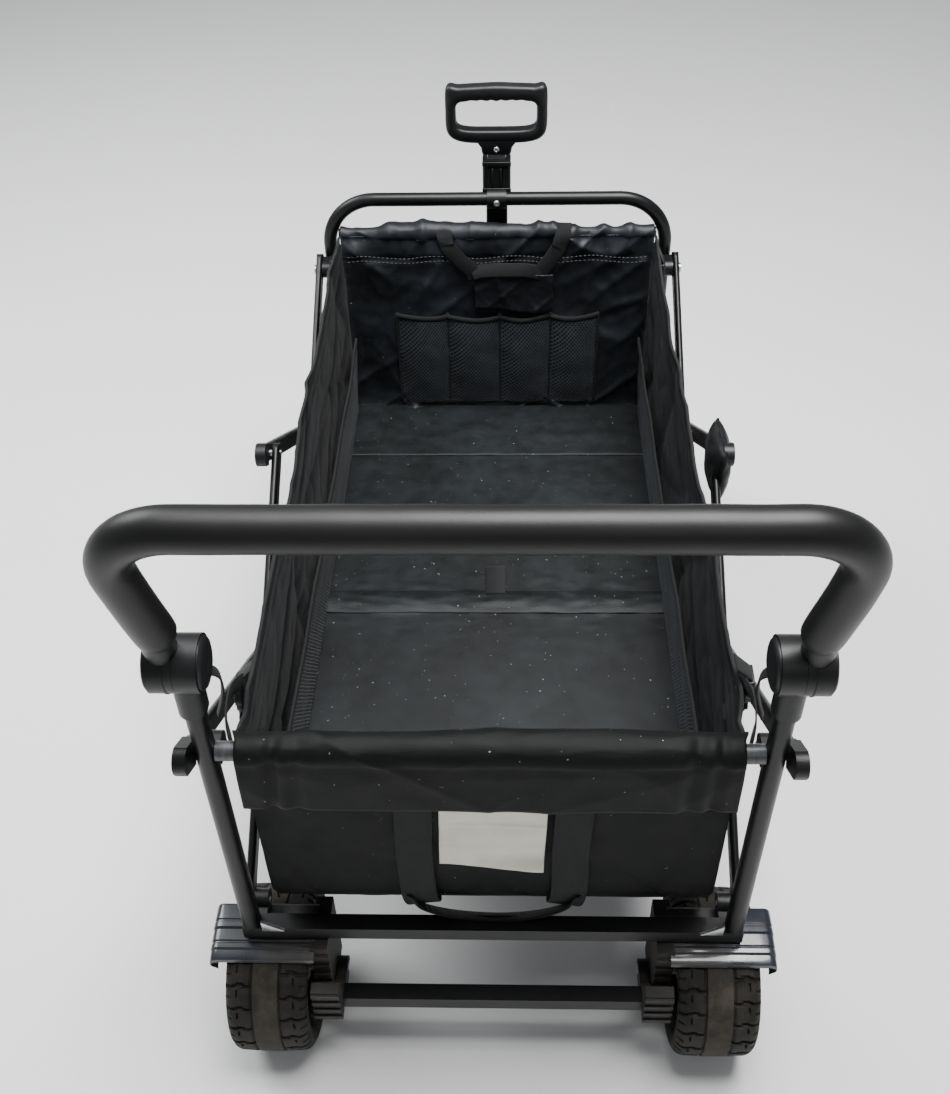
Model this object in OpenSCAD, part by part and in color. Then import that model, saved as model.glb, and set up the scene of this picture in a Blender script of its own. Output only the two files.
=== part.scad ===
// Folding camp wagon: two end frames joined by a folding double scissor on each side,
// a fabric basket with a stiffened floor, a pushing handle, a pulling handle and four wheels.
// Left is -X, the pulling end is +Y, and the wheels stand on z = 0.

/* [Overall frame] */
// Half the distance between the lower scissor pivots, front to back
half_span = 480; // [420:5:560]
// Height of the lower row of scissor pivots
pivot_low_z = 222; // [216:1:240]
// Height of the upper row of scissor pivots
pivot_high_z = 515; // [480:1:560]
// Distance from the scissor pivots out to the end frames
frame_offset = 30; // [29:0.5:36]
// Distance from the middle out to the upright centres
upright_x = 278; // [250:1:310]

/* [Scissor bars] */
// Width of a flat-oval scissor bar
bar_w = 25; // [18:1:30]
// Thickness of a scissor bar
bar_t = 10; // [8:0.5:12]
// Gap between the inner and outer layer of bars
bar_gap = 4; // [3:0.5:6]
// Radius of the pivot pins
pin_r = 4; // [3:0.25:5]
// Running clearance round a pivot pin
pin_play = 0.3; // [0.3:0.05:0.4]
// How far a rear bar runs on past its upper pivot, with its cap
tail_l = 56; // [45:1:80]
// How far a front bar runs on past the middle upper pivot, with its cap
mid_tail_l = 34; // [24:1:45]

/* [Rear frame] */
// Width of an upright, side to side
upright_w = 20; // [16:1:24]
// Depth of an upright, front to back
upright_d = 25; // [24:1:32]
// Wall of the upright tubes
upright_wall = 1.5; // [1:0.25:2.5]
// Sliding clearance between a tube and the rod inside it
slide_play = 0.5; // [0.3:0.1:1]
// Side of the square cross tubes
cross_s = 20; // [16:1:24]
// Height of the underside of the rear cross tube
rear_cross_z = 205; // [204:1:215]
// Height of the rear top bar
top_bar_z = 540; // [535:1:560]
// Radius of the rear top bar
top_bar_r = 10; // [8:0.5:12]
// Height of the knuckles that carry the pushing handle
knuckle_z = 668; // [640:1:720]

/* [Pushing handle] */
// Radius of a knuckle drum
knuckle_r = 28; // [24:1:32]
// Radius of the foam grip
foam_r = 19.5; // [15:0.5:20]
// Radius of the steel tube in the foam grip
push_tube_r = 12; // [10:0.5:13]
// Length from the knuckle axis to the middle of the grip
push_l = 218; // [190:2.5:260]
// Distance from the middle out to an arm of the pushing handle
push_x = 291; // [290:0.5:292]
// Radius of the handle's corners
push_bend = 60; // [45:1:80]
// Backward lean of the handle at rest, in degrees
push_lean = 14.8; // [5:0.1:25]
// Radius of a knuckle button
button_r = 15; // [12:0.5:18]
// Travel of a knuckle button
button_travel = 4; // [3:0.5:4.5]

/* [Wheels] */
// Radius of a tyre
wheel_r = 98.5; // [90:0.5:98.5]
// Width of a tyre
tyre_w = 96; // [80:1:108]
// Radius of the rim that carries the tyre
rim_r = 62; // [52:1:66]
// Distance from the middle out to a wheel centre
wheel_x = 263; // [262:1:272]
// Radius of an axle
axle_r = 6; // [5:0.25:8]
// Clearance between an axle and its hub
axle_play = 0.3; // [0.3:0.05:0.5]
// Distance that a front wheel trails behind its swivel axis
caster_trail = 30; // [10:1:40]
// Distance of the swivel axis in front of the front frame
caster_lead = 16; // [12:0.5:24]

/* [Front frame] */
// Distance from the middle out to a leg of the hoop
hoop_x = 268; // [264:0.5:268]
// Radius of the hoop's tube
hoop_r = 10.5; // [8:0.5:10.5]
// Height of the top of the hoop, at the tube's centre
hoop_z = 620; // [600:1:660]
// Radius of the hoop's corners
hoop_bend = 75; // [60:1:90]
// Height of the underside of the front cross tube
front_cross_z = 240; // [240:1:245]
// Height of the bar that carries the front edge of the basket
front_bar_z = 566; // [550:1:575]
// Radius of the bar that carries the front edge of the basket
front_bar_r = 8; // [6:0.5:9]

/* [Pulling handle] */
// Width of the flat post of the pulling handle
post_w = 34; // [28:1:40]
// Depth of the post
post_d = 18; // [14:0.5:18]
// Height of the post's pivot
post_pivot_z = 285; // [280:1:295]
// Height of the top of the outer post
post_top_z = 628; // [600:1:640]
// Height of the lock sleeve
lock_h = 52; // [44:1:60]
// Width of the lock sleeve
lock_w = 44; // [42:1:52]
// Travel of the lock sleeve
lock_travel = 5; // [4:0.5:8]
// Width of the hand grip
grip_w = 152; // [130:1:170]
// Height of the hand grip
grip_h = 90; // [85:1:100]
// Thickness of the hand grip, front to back
grip_d = 26; // [20:1:28]

/* [Basket] */
// Half the width of the basket, to the outside of its side walls
basket_x = 254; // [240:1:254]
// Thickness of the basket's fabric walls
cloth_t = 4; // [2:0.5:4]
// Height of the underside of the basket's floor
floor_z = 240; // [240:1:250]
// Thickness of a floor board
board_t = 6; // [4:0.5:8]
// Length of a floor board, from its hinge to the fold in the middle
board_l = 345; // [300:1:350]
// Height of the side walls at the rear
side_rear_z = 548; // [535:1:552]
// Height of the side walls at the front
side_front_z = 572; // [555:1:575]

/* [Hidden] */
$fn = 48;

// Places shared by several pieces
frame_y = half_span + frame_offset;
rise = pivot_high_z - pivot_low_z;
bar_l = sqrt(half_span * half_span + rise * rise);
bar_a = atan2(rise, half_span);
crossing_z = (pivot_low_z + pivot_high_z) / 2;
inner_x = upright_x + upright_w / 2 + 2 - bar_t / 2;
outer_x = inner_x + bar_t + bar_gap;
pin_tip_x = outer_x + bar_t / 2;
cross_x = upright_x + upright_w / 2;
block_face_x = inner_x - bar_t / 2 - 0.3;
rod_w = upright_w - 2 * upright_wall - 2 * slide_play;
rod_d = upright_d - 2 * upright_wall - 2 * slide_play;
caster_y = frame_y + caster_lead;
front_axle_y = caster_y - caster_trail;
rear_axle_y = -frame_y + 14;
seat = 0.3;

// A cylinder along X from x0 to x1
module x_rod(r, x0, x1) translate([x0, 0, 0]) rotate([0, 90, 0]) cylinder(r = r, h = x1 - x0);

// A box given by its two corners
module box(a, b) translate(a) cube(b - a);

// A flat oval, w across X and d across Y
module flat_oval(w, d) {
  union() {
    square([w, d - w], center = true);
    for (s = [-1, 1]) translate([0, s * (d - w) / 2]) circle(d = w);
  }
}

// The same piece on both sides; children are drawn on the right
module both_sides() {
  children();
  mirror([1, 0, 0]) children();
}

// A piece drawn on the right, on one chosen side
module on_side(side) {
  if (side > 0) children();
  else mirror([1, 0, 0]) children();
}

// ---------- rear base ----------

module rear_cross_tube() color("#15171a")
  translate([0, -frame_y, rear_cross_z + cross_s / 2]) difference() {
    cube([2 * cross_x, cross_s, cross_s], center = true);
    cube([2 * cross_x + 2, cross_s - 3, cross_s - 3], center = true);
  }

module post_rod(x, y, z0, z1, w, d) translate([x, y, z0]) linear_extrude(z1 - z0) flat_oval(w, d);

module rear_post_rods() color("#8c9094") both_sides()
  post_rod(upright_x, -frame_y, rear_cross_z + cross_s, top_bar_z + 60, rod_w, rod_d);

// Block with a pin hole along X at (y, z), drawn as a plate from x0 to x1.
// Its arm runs to y = back and rises `top` above the pin.
module pin_block(x0, x1, y, z, back, h, top) {
  difference() {
    union() {
      translate([0, y, z]) x_rod(h / 2, x0, x1);
      box([x0, min(y, back), z - h / 2], [x1, max(y, back), z + top]);
    }
    translate([0, y, z]) x_rod(pin_r + pin_play, x0 - 1, x1 + 1);
  }
}

module rear_pivot_blocks() color("#1b1d20") both_sides()
  pin_block(inner_x - 23, block_face_x, -half_span, pivot_low_z, -frame_y + cross_s / 2, 26, 3);

bracket_x0 = wheel_x - tyre_w / 2 - 24;
bracket_x1 = wheel_x - tyre_w / 2 - 4;

module wheel_brackets() color("#26282b") both_sides() difference() {
  union() {
    box([bracket_x0, rear_axle_y - 36, wheel_r - 14], [bracket_x1, rear_axle_y + 34, rear_cross_z - 5]);
    for (i = [0:4])
      box([bracket_x0, rear_axle_y - 39, wheel_r + 2 + 20 * i], [bracket_x1, rear_axle_y - 35, wheel_r + 10 + 20 * i]);
  }
  translate([0, rear_axle_y, wheel_r]) x_rod(axle_r + axle_play, bracket_x0 - 1, bracket_x1 + 1);
}

// Saddle over the top of a rear wheel, stepped down towards the rear
fender_x = wheel_x + tyre_w / 2 + 18;
module rear_fenders() color("#3a4552") both_sides()
  difference() {
    union() {
      box([bracket_x0, -frame_y + 8, rear_cross_z - 13], [fender_x, -frame_y + 35, rear_cross_z - seat]);
      box([bracket_x0, -frame_y - 20, rear_cross_z - 17], [fender_x, -frame_y + 10, rear_cross_z - 4]);
      box([bracket_x0, -frame_y - 45, rear_cross_z - 22], [fender_x, -frame_y - 18, rear_cross_z - 9]);
      box([fender_x - 5, -frame_y - 45, rear_cross_z - 34], [fender_x, -frame_y + 35, rear_cross_z - 12]);
    }
    translate([0, rear_axle_y, wheel_r]) x_rod(wheel_r + 3.5, bracket_x1 - 1, fender_x - 5);
    box([bracket_x0 - 1, -frame_y - 50, rear_cross_z - 40], [bracket_x1 + seat, -frame_y + 50, rear_cross_z - 5 + seat]);
  }

module rear_axles() color("#b9bcc0") both_sides()
  translate([0, rear_axle_y, wheel_r]) x_rod(axle_r, bracket_x0 - 14, wheel_x + tyre_w / 2 - 18);

// ---------- foot brake ----------

brake_y = rear_axle_y - 44;
brake_z = wheel_r + 11.5;
brake_bar_x = bracket_x0 - 13;

module brake_bar() color("#15171a")
  translate([0, brake_y, brake_z]) difference() {
    cube([2 * brake_bar_x, cross_s, cross_s], center = true);
    cube([2 * brake_bar_x + 2, cross_s - 3, cross_s - 3], center = true);
  }

module brake_pedals() color("#26282b") both_sides() difference() {
  union() {
    box([brake_bar_x, brake_y - 12, brake_z - 13], [bracket_x0 - 1, brake_y + 12, brake_z + 13]);
    box([brake_bar_x, brake_y, wheel_r - 12], [bracket_x0 - 1, rear_axle_y, wheel_r + 12]);
    translate([0, rear_axle_y, wheel_r]) x_rod(12, brake_bar_x, bracket_x0 - 1);
    box([brake_bar_x, brake_y - 24, brake_z - 14], [bracket_x1, brake_y - 11, brake_z + 50]);
    for (i = [0:3])
      box([brake_bar_x, brake_y - 26.5, brake_z - 8 + 16 * i], [bracket_x1, brake_y - 23, brake_z - 2 + 16 * i]);
  }
  translate([0, rear_axle_y, wheel_r]) x_rod(axle_r + axle_play, brake_bar_x - 1, bracket_x0 + 1);
}

// ---------- wheels ----------

// Tyre with rounded shoulders, its axis along X at the origin
module tyre() {
  shoulder = 14;
  w = tyre_w / 2;
  rotate([0, 90, 0]) rotate_extrude()
    polygon(concat(
      [[rim_r + 0.1, -w + 12], [rim_r + 6, -w + 4]],
      [for (a = [-90:15:0]) [wheel_r - shoulder + shoulder * cos(a), -w + shoulder + shoulder * sin(a)]],
      [for (a = [0:15:90]) [wheel_r - shoulder + shoulder * cos(a), w - shoulder + shoulder * sin(a)]],
      [[rim_r + 6, w - 4], [rim_r + 0.1, w - 12]]));
}

// Rim with spokes and hub, its axis along X, its face towards +X
module rim() {
  w = tyre_w / 2 - 12;
  difference() {
    union() {
      difference() {
        x_rod(rim_r - 0.1, -w, w);
        x_rod(rim_r - 5, -w - 1, w + 1);
      }
      x_rod(17, -w, w);
      for (i = [0:5]) rotate([60 * i, 0, 0]) box([w - 30, -7, 14], [w - 12, 7, rim_r - 4]);
    }
    x_rod(axle_r + axle_play, -w - 1, w - 5);
  }
}

module wheel_at(side, y) on_side(side) translate([wheel_x, y, wheel_r]) children();

module rear_tyre_left() color("#3b3833") wheel_at(-1, rear_axle_y) tyre();
module rear_tyre_right() color("#3b3833") wheel_at(1, rear_axle_y) tyre();
module rear_rim_left() color("#17181a") wheel_at(-1, rear_axle_y) rim();
module rear_rim_right() color("#17181a") wheel_at(1, rear_axle_y) rim();

// ---------- scissor bars ----------

// Flat-oval bar in layer x from pivot (y, z) at angle a to the +Y axis, with a pin hole at each listed distance.
// It runs on by `tail` past its far pivot.
module scissor_bar(x, y, z, a, tail, holes, hole_r) {
  end = bar_w / 2;
  translate([x, y, z]) rotate([a, 0, 0]) difference() {
    intersection() {
      translate([0, -end, 0]) rotate([-90, 0, 0])
        linear_extrude(bar_l + tail + 2 * end) flat_oval(bar_t, bar_w);
      union() {
        x_rod(end, -bar_t, bar_t);
        box([-bar_t, 0, -end], [bar_t, bar_l + tail, end]);
        translate([0, bar_l + tail, 0]) x_rod(end, -bar_t, bar_t);
      }
    }
    for (h = holes) translate([0, h, 0]) x_rod(hole_r, -bar_t, bar_t);
  }
}

// A pin along X with a rivet head at its outer end
module pin(y, z, x0, x1) translate([0, y, z]) {
  x_rod(pin_r, x0, x1 + 0.5);
  x_rod(pin_r + 3.5, x1 + 0.3, x1 + 2.8);
}

hole_r = pin_r + pin_play;
bar_holes = [0, bar_l / 2, bar_l];

// From the rear lower pivot up to the middle upper pivot
module bars_rear_rising() color("#15171a") both_sides()
  scissor_bar(inner_x, -half_span, pivot_low_z, bar_a, 0, bar_holes, hole_r);

module rising_bar_pins() color("#9ea1a5") both_sides() {
  pin(-half_span, pivot_low_z, inner_x - 24, inner_x + bar_t / 2);
  pin(-half_span / 2, crossing_z, inner_x - bar_t / 2 - 1, pin_tip_x);
  pin(0, pivot_high_z, inner_x - bar_t / 2 - 1, pin_tip_x);
}

// From the middle lower pivot back up to the rear upper pivot and on past it
module bars_rear_falling() color("#15171a") both_sides()
  scissor_bar(outer_x, 0, pivot_low_z, 180 - bar_a, tail_l - 14, bar_holes, hole_r);

// Plastic cap over the end of a bar, drawn in layer x past the pivot (y, z) at angle a
module bar_cap(x, y, z, a, from, to) {
  translate([x, y, z]) rotate([a, 0, 0]) difference() {
    union() {
      box([-bar_t / 2 - 1.5, from, -bar_w / 2 - 2], [bar_t / 2 + 1.5, to - 10, bar_w / 2 + 2]);
      translate([0, to - bar_w / 2 - 2, 0]) x_rod(bar_w / 2 + 2, -bar_t / 2 - 1.5, bar_t / 2 + 1.5);
    }
    box([-bar_t / 2 - 0.1, from - bar_w, -bar_w / 2 - 0.1], [bar_t / 2 + 0.1, to - 8.5, bar_w / 2 + 0.1]);
  }
}

cap_reach = bar_w / 2 + 6;

module rear_bar_caps() color("#101113") both_sides()
  bar_cap(outer_x, -half_span, pivot_high_z, 180 - bar_a, tail_l - 34, tail_l - 14 + cap_reach + 4);

module middle_bar_caps() color("#101113") both_sides()
  bar_cap(outer_x, 0, pivot_high_z, 180 - bar_a, mid_tail_l - 18, mid_tail_l - 14 + cap_reach + 4);

// Tube under the basket's floor on the middle lower pivots
module floor_support_tube() color("#15171a") union() {
  translate([0, 0, pivot_low_z]) x_rod(8, -inner_x + bar_t / 2 + 1, inner_x - bar_t / 2 - 1);
  translate([0, 0, pivot_low_z]) x_rod(pin_r, -pin_tip_x - 1, pin_tip_x + 1);
  both_sides() translate([0, 0, pivot_low_z]) x_rod(pin_r + 3.5, pin_tip_x + 0.3, pin_tip_x + 2.8);
}

// From the front lower pivot back up to the middle upper pivot and on past it
module bars_front_falling() color("#15171a") both_sides()
  scissor_bar(outer_x, half_span, pivot_low_z, 180 - bar_a, mid_tail_l - 14, bar_holes, hole_r);

module falling_bar_pins() color("#9ea1a5") both_sides() {
  pin(half_span / 2, crossing_z, inner_x - bar_t / 2 - 1, pin_tip_x);
  pin(half_span, pivot_low_z, inner_x - 18, pin_tip_x);
}

// From the middle lower pivot up to the front upper pivot
module bars_front_rising() color("#15171a") both_sides()
  scissor_bar(inner_x, 0, pivot_low_z, bar_a, 14, bar_holes, hole_r + 0.5);

module front_bar_pins() color("#9ea1a5") both_sides()
  pin(half_span, pivot_high_z, inner_x - 22, inner_x + bar_t / 2);

// ---------- rear upper frame ----------

upright_z0 = rear_cross_z + cross_s + seat;
upright_z1 = knuckle_z - knuckle_r - 1;

module uprights() color("#15171a") both_sides()
  translate([upright_x, -frame_y, upright_z0]) difference() {
    linear_extrude(upright_z1 - upright_z0) flat_oval(upright_w, upright_d);
    translate([0, 0, -1]) linear_extrude(upright_z1 - upright_z0 + 2)
      flat_oval(upright_w - 2 * upright_wall, upright_d - 2 * upright_wall);
  }

bar_end_x = upright_x - upright_w / 2 - seat;

module rear_top_bar() color("#202225")
  translate([0, -frame_y, top_bar_z]) difference() {
    x_rod(top_bar_r, -bar_end_x, bar_end_x);
    x_rod(top_bar_r - 1.5, -bar_end_x - 1, bar_end_x + 1);
  }

module upper_pivot_blocks() color("#1b1d20") both_sides() {
  pin_block(inner_x - 15, outer_x - bar_t / 2 - 0.3, -half_span, pivot_high_z, -frame_y + upright_d / 2 + seat, 26, 13);
  pin(-half_span, pivot_high_z, inner_x - 18, pin_tip_x);
}

// Fixed inner half of a knuckle, with the sleeve that takes the upright
hub_x = upright_x + 3;
knuckle_w = 22;
knuckle_hub_w = 25;
module knuckle_housings() color("#101113") both_sides() difference() {
  union() {
    translate([0, -frame_y, knuckle_z]) x_rod(knuckle_r, hub_x - knuckle_w, hub_x);
    translate([upright_x, -frame_y, knuckle_z - knuckle_r - 34])
      linear_extrude(knuckle_r + 10) flat_oval(upright_w + 8, upright_d + 8);
  }
  translate([upright_x, -frame_y, knuckle_z - knuckle_r - 35])
    linear_extrude(34 + seat) flat_oval(upright_w + 2 * seat, upright_d + 2 * seat);
  translate([0, -frame_y, knuckle_z]) x_rod(knuckle_r + 0.5, hub_x, hub_x + 60);
  translate([0, -frame_y, knuckle_z]) x_rod(button_r + seat, hub_x - knuckle_w - 1, hub_x - knuckle_w + 12);
}

// ---------- pushing handle ----------

// The handle's own frame: x to the side, y along the arm from the knuckle axis
module handle_frame() translate([0, -frame_y, knuckle_z]) rotate([90 + push_lean, 0, 0]) children();

// U-shaped tube of outer radius ro and bore ri, its arms starting at distance y0
module u_tube(ro, ri, y0) {
  both_sides() {
    translate([push_x, y0, 0]) rotate([-90, 0, 0]) linear_extrude(push_l - push_bend - y0) ring(ro, ri);
    translate([push_x - push_bend, push_l - push_bend, 0])
      rotate_extrude(angle = 90) translate([push_bend, 0]) ring(ro, ri);
  }
  translate([0, push_l, 0]) rotate([0, 90, 0])
    linear_extrude(2 * (push_x - push_bend), center = true) ring(ro, ri);
}

module ring(ro, ri) difference() {
  circle(ro);
  circle(ri);
}

push_socket_l = 48;
module push_handle_tube() color("#15171a") handle_frame()
  u_tube(push_tube_r, push_tube_r - 1.5, knuckle_r + 1);

module foam_grip() color("#23241f") handle_frame()
  u_tube(foam_r, push_tube_r + 0.15, push_socket_l + seat);

// Turning outer half of a knuckle, with the socket that takes the handle's arm
module knuckle_hubs() color("#101113") handle_frame() both_sides() difference() {
  union() {
    x_rod(knuckle_r, hub_x + seat, hub_x + seat + knuckle_hub_w);
    intersection() {
      translate([push_x, 0, 0]) rotate([-90, 0, 0]) cylinder(r = push_tube_r + 3.5, h = push_socket_l);
      box([hub_x + seat, 0, -30], [hub_x + 60, push_socket_l, 30]);
    }
    difference() {
      translate([push_x, knuckle_r + 2, 0]) rotate([-90, 0, 0]) cylinder(r = push_tube_r + 3.5, h = push_socket_l - knuckle_r - 2);
      x_rod(knuckle_r + 0.6, 0, hub_x + seat);
    }
  }
  translate([push_x, knuckle_r + 1 - seat, 0]) rotate([-90, 0, 0]) cylinder(r = push_tube_r + 0.15, h = push_socket_l);
}

module knuckle_button() {
  translate([0, -frame_y, knuckle_z]) x_rod(button_r, hub_x - knuckle_w - 5, hub_x - knuckle_w + 7);
}
module knuckle_button_left() color("#141517") on_side(-1) knuckle_button();
module knuckle_button_right() color("#141517") on_side(1) knuckle_button();

// ---------- basket: rear, sides and floor ----------

rear_wall_y = -half_span - 12;
wall_in = basket_x - cloth_t;

module rear_wall() color("#131517") union() {
  box([-basket_x - 2, rear_wall_y, floor_z - 4], [basket_x + 2, rear_wall_y + cloth_t, top_bar_z + 8]);
  difference() {
    union() {
      translate([0, -frame_y, top_bar_z]) x_rod(top_bar_r + 5, -basket_x + 8, basket_x - 8);
      box([-basket_x + 8, -frame_y, top_bar_z + 4], [basket_x - 8, rear_wall_y + 1, top_bar_z + 8]);
      box([-basket_x + 8, -frame_y - top_bar_r - 5, top_bar_z - 66], [basket_x - 8, -frame_y - top_bar_r - 1, top_bar_z]);
    }
    translate([0, -frame_y, top_bar_z]) x_rod(top_bar_r + seat, -basket_x, basket_x);
  }
}

module side_wall() translate([wall_in, 0, 0]) rotate([90, 0, 90]) linear_extrude(cloth_t)
  polygon([
    [rear_wall_y + cloth_t + seat, floor_z - 4], [front_wall_y - seat, floor_z - 4],
    [front_wall_y - seat, side_front_z], [rear_wall_y + cloth_t + seat, side_rear_z]]);
module side_wall_left() color("#131517") on_side(-1) side_wall();
module side_wall_right() color("#131517") on_side(1) side_wall();

board_x = wall_in - 0.4;
strip_gap = board_t + 1;
module rear_floor_strip() color("#16181a")
  box([-wall_in + seat, rear_wall_y + cloth_t + seat, floor_z], [wall_in - seat, -board_l - strip_gap, floor_z + board_t]);

module care_label() color("#d9d6c8")
  box([-58, rear_wall_y - seat - 1.2, floor_z + 85], [58, rear_wall_y - seat, floor_z + 190]);

// Side-release buckles that hang the basket's rear corners from the frame
module buckle(y, z) union() {
  box([basket_x + seat, y - 14, z - 24], [basket_x + 8.3, y + 14, z + 24]);
  box([basket_x + 3, y - 11, z - 42], [basket_x + 5.5, y + 11, z + 42]);
}
module rear_buckles() color("#101113") both_sides() buckle(-half_span + 62, side_rear_z - 52);

// Boards, relieved by a round groove along each line that they turn on
module floor_board_rear() color("#1b1f22") difference() {
  box([-board_x, -board_l, floor_z], [board_x, -0.4, floor_z + board_t]);
  for (y = [-board_l, 0]) translate([0, y, floor_z]) x_rod(2, -board_x - 1, board_x + 1);
}
module floor_board_front() color("#1b1f22") difference() {
  box([-board_x, 0.4, floor_z], [board_x, board_l, floor_z + board_t]);
  translate([0, 0, floor_z]) x_rod(2, -board_x - 1, board_x + 1);
}
module floor_pull_tab() color("#101113")
  box([-14.5, 4, floor_z + board_t + 0.2], [14.5, 66, floor_z + board_t + 2.2]);

// ---------- front upper frame ----------

front_leg_z0 = front_cross_z + cross_s + 3;
front_leg_z1 = hoop_z - hoop_bend;

module front_hoop() color("#15171a") translate([0, frame_y, 0]) rotate([90, 0, 0]) {
  both_sides() {
    translate([hoop_x, front_leg_z0, 0]) rotate([-90, 0, 0])
      linear_extrude(front_leg_z1 - front_leg_z0) ring(hoop_r, hoop_r - 1.5);
    translate([hoop_x - hoop_bend, front_leg_z1, 0])
      rotate_extrude(angle = 90) translate([hoop_bend, 0]) ring(hoop_r, hoop_r - 1.5);
  }
  translate([0, hoop_z, 0]) rotate([0, 90, 0])
    linear_extrude(2 * (hoop_x - hoop_bend), center = true) ring(hoop_r, hoop_r - 1.5);
}

leg_in = hoop_x - hoop_r - seat;
front_bar_y = frame_y - 7;

// The hoop's corner leans in at the height of the rim bar
bend_rise = front_bar_z + front_bar_r - front_leg_z1;
rim_bar_x = hoop_x - hoop_bend + sqrt(hoop_bend * hoop_bend - bend_rise * bend_rise) - hoop_r;

module front_rim_bar() color("#15171a") translate([0, front_bar_y, front_bar_z]) difference() {
  x_rod(front_bar_r, -rim_bar_x, rim_bar_x);
  x_rod(front_bar_r - 1.5, -rim_bar_x - 1, rim_bar_x + 1);
}

// Tube between the hoop's legs that carries the pulling handle's pivot
lock_d = post_d + 9;
post_y = frame_y + 30;
module lower_hoop_tube() color("#15171a") difference() {
  union() {
    translate([0, frame_y, post_pivot_z]) x_rod(10, -leg_in, leg_in);
    for (s = [-1, 1]) difference() {
      union() {
        box([s * (post_w / 2 + 4) - 3, frame_y, post_pivot_z - 12], [s * (post_w / 2 + 4) + 3, post_y, post_pivot_z + 12]);
        translate([0, post_y, post_pivot_z]) x_rod(12, s * (post_w / 2 + 4) - 3, s * (post_w / 2 + 4) + 3);
      }
    }
    translate([0, post_y, post_pivot_z]) x_rod(pin_r, -post_w / 2 - 9, post_w / 2 + 9);
  }
}

module front_pivot_blocks() color("#1b1d20") both_sides()
  pin_block(hoop_x - 6, block_face_x, half_span, pivot_high_z, frame_y - hoop_r - seat, 26, 13);

// Clip on the hoop's top that holds the post upright
module handle_clip() color("#101113") difference() {
  union() {
    translate([0, frame_y, hoop_z]) x_rod(hoop_r + 4, -15, 15);
    box([-15, frame_y, hoop_z - 9], [15, post_y - lock_d / 2 - seat, hoop_z + 9]);
    translate([0, frame_y - hoop_r - 5.5, hoop_z]) rotate([-90, 0, 0]) cylinder(r = 4, h = 3);
  }
  translate([0, frame_y, hoop_z]) x_rod(hoop_r + seat, -16, 16);
}

front_wall_y = half_span + 6;
module front_wall() color("#131517") union() {
  box([-wall_in + seat, front_wall_y, floor_z - 4],
    [wall_in - seat, front_wall_y + cloth_t, front_bar_z + front_bar_r + 4]);
  difference() {
    union() {
      translate([0, front_bar_y, front_bar_z]) x_rod(front_bar_r + 4, -wall_in + 2, wall_in - 2);
      box([-wall_in + 2, front_wall_y + 1, front_bar_z], [wall_in - 2, front_bar_y, front_bar_z + front_bar_r + 4]);
    }
    translate([0, front_bar_y, front_bar_z]) x_rod(front_bar_r + seat, -wall_in, wall_in);
  }
}

module mesh_pocket() color("#1d2022")
  box([-165, front_wall_y - 2.8, floor_z + 34], [165, front_wall_y - seat, floor_z + 215]);

module front_floor_strip() color("#16181a")
  box([-wall_in + seat, board_l + strip_gap, floor_z], [wall_in - seat, front_wall_y - seat, floor_z + board_t]);

// ---------- pulling handle ----------

post_bore_w = post_w - 4;
post_bore_d = post_d - 4;
module pull_post() color("#15171a") translate([0, post_y, 0]) difference() {
  union() {
    translate([0, 0, post_pivot_z]) linear_extrude(post_top_z - post_pivot_z) rounded(post_w, post_d, 4);
    translate([0, 0, post_pivot_z]) x_rod(post_d / 2, -post_w / 2, post_w / 2);
  }
  translate([0, 0, post_pivot_z + 16]) linear_extrude(post_top_z) rounded(post_bore_w, post_bore_d, 2);
  translate([0, 0, post_pivot_z]) x_rod(hole_r, -post_w, post_w);
}

// A rectangle with round corners
module rounded(w, d, r) union() {
  square([w - 2 * r, d], center = true);
  square([w, d - 2 * r], center = true);
  for (sx = [-1, 1], sy = [-1, 1]) translate([sx * (w / 2 - r), sy * (d / 2 - r)]) circle(r);
}

inner_w = post_bore_w - 2 * slide_play;
inner_d = post_bore_d - 2 * slide_play;
grip_z = post_top_z + lock_h + lock_travel + 5;
module pull_inner_tube() color("#2a2c2f") translate([0, post_y, post_pivot_z + 22])
  linear_extrude(grip_z - post_pivot_z - 22) rounded(inner_w, inner_d, 1.5);

module lock_sleeve() color("#101113") translate([0, post_y, post_top_z - 6]) difference() {
  linear_extrude(lock_h) rounded(lock_w, lock_d, 5);
  translate([0, 0, -1]) linear_extrude(8) rounded(post_w + 1, post_d + 1, 4);
  translate([0, 0, 6]) linear_extrude(lock_h) rounded(inner_w + 1, inner_d + 1, 2);
  for (s = [-1, 1]) box([s * 8 - 2, -post_d, 14], [s * 8 + 2, -post_d / 2 - 2, lock_h - 10]);
}

// D-shaped hand grip: flared top corners, open middle, neck below
module pull_grip() color("#1c1d1f") translate([0, post_y, grip_z]) rotate([90, 0, 0]) difference() {
  linear_extrude(grip_d, center = true) difference() {
    polygon([
      [-grip_w / 2, grip_h / 2], [-grip_w / 2 + 3, 26], [-grip_w / 2 + 20, 10], [-22, 10], [-22, -8],
      [22, -8], [22, 10], [grip_w / 2 - 20, 10], [grip_w / 2 - 3, 26], [grip_w / 2, grip_h / 2],
      [grip_w / 2 - 2, grip_h - 4], [grip_w / 2 - 6, grip_h + 3], [-grip_w / 2 + 6, grip_h + 3],
      [-grip_w / 2 + 2, grip_h - 4]]);
    translate([-grip_w / 2 + 17, 34]) square([grip_w - 34, grip_h - 49]);
    translate([-grip_w / 2 + 23, 30]) square([grip_w - 46, grip_h - 42]);
  }
  translate([0, -9, 0]) rotate([-90, 0, 0]) linear_extrude(9 + seat) rounded(inner_w + 0.4, inner_d + 0.4, 1.5);
}

// ---------- front base ----------

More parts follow.
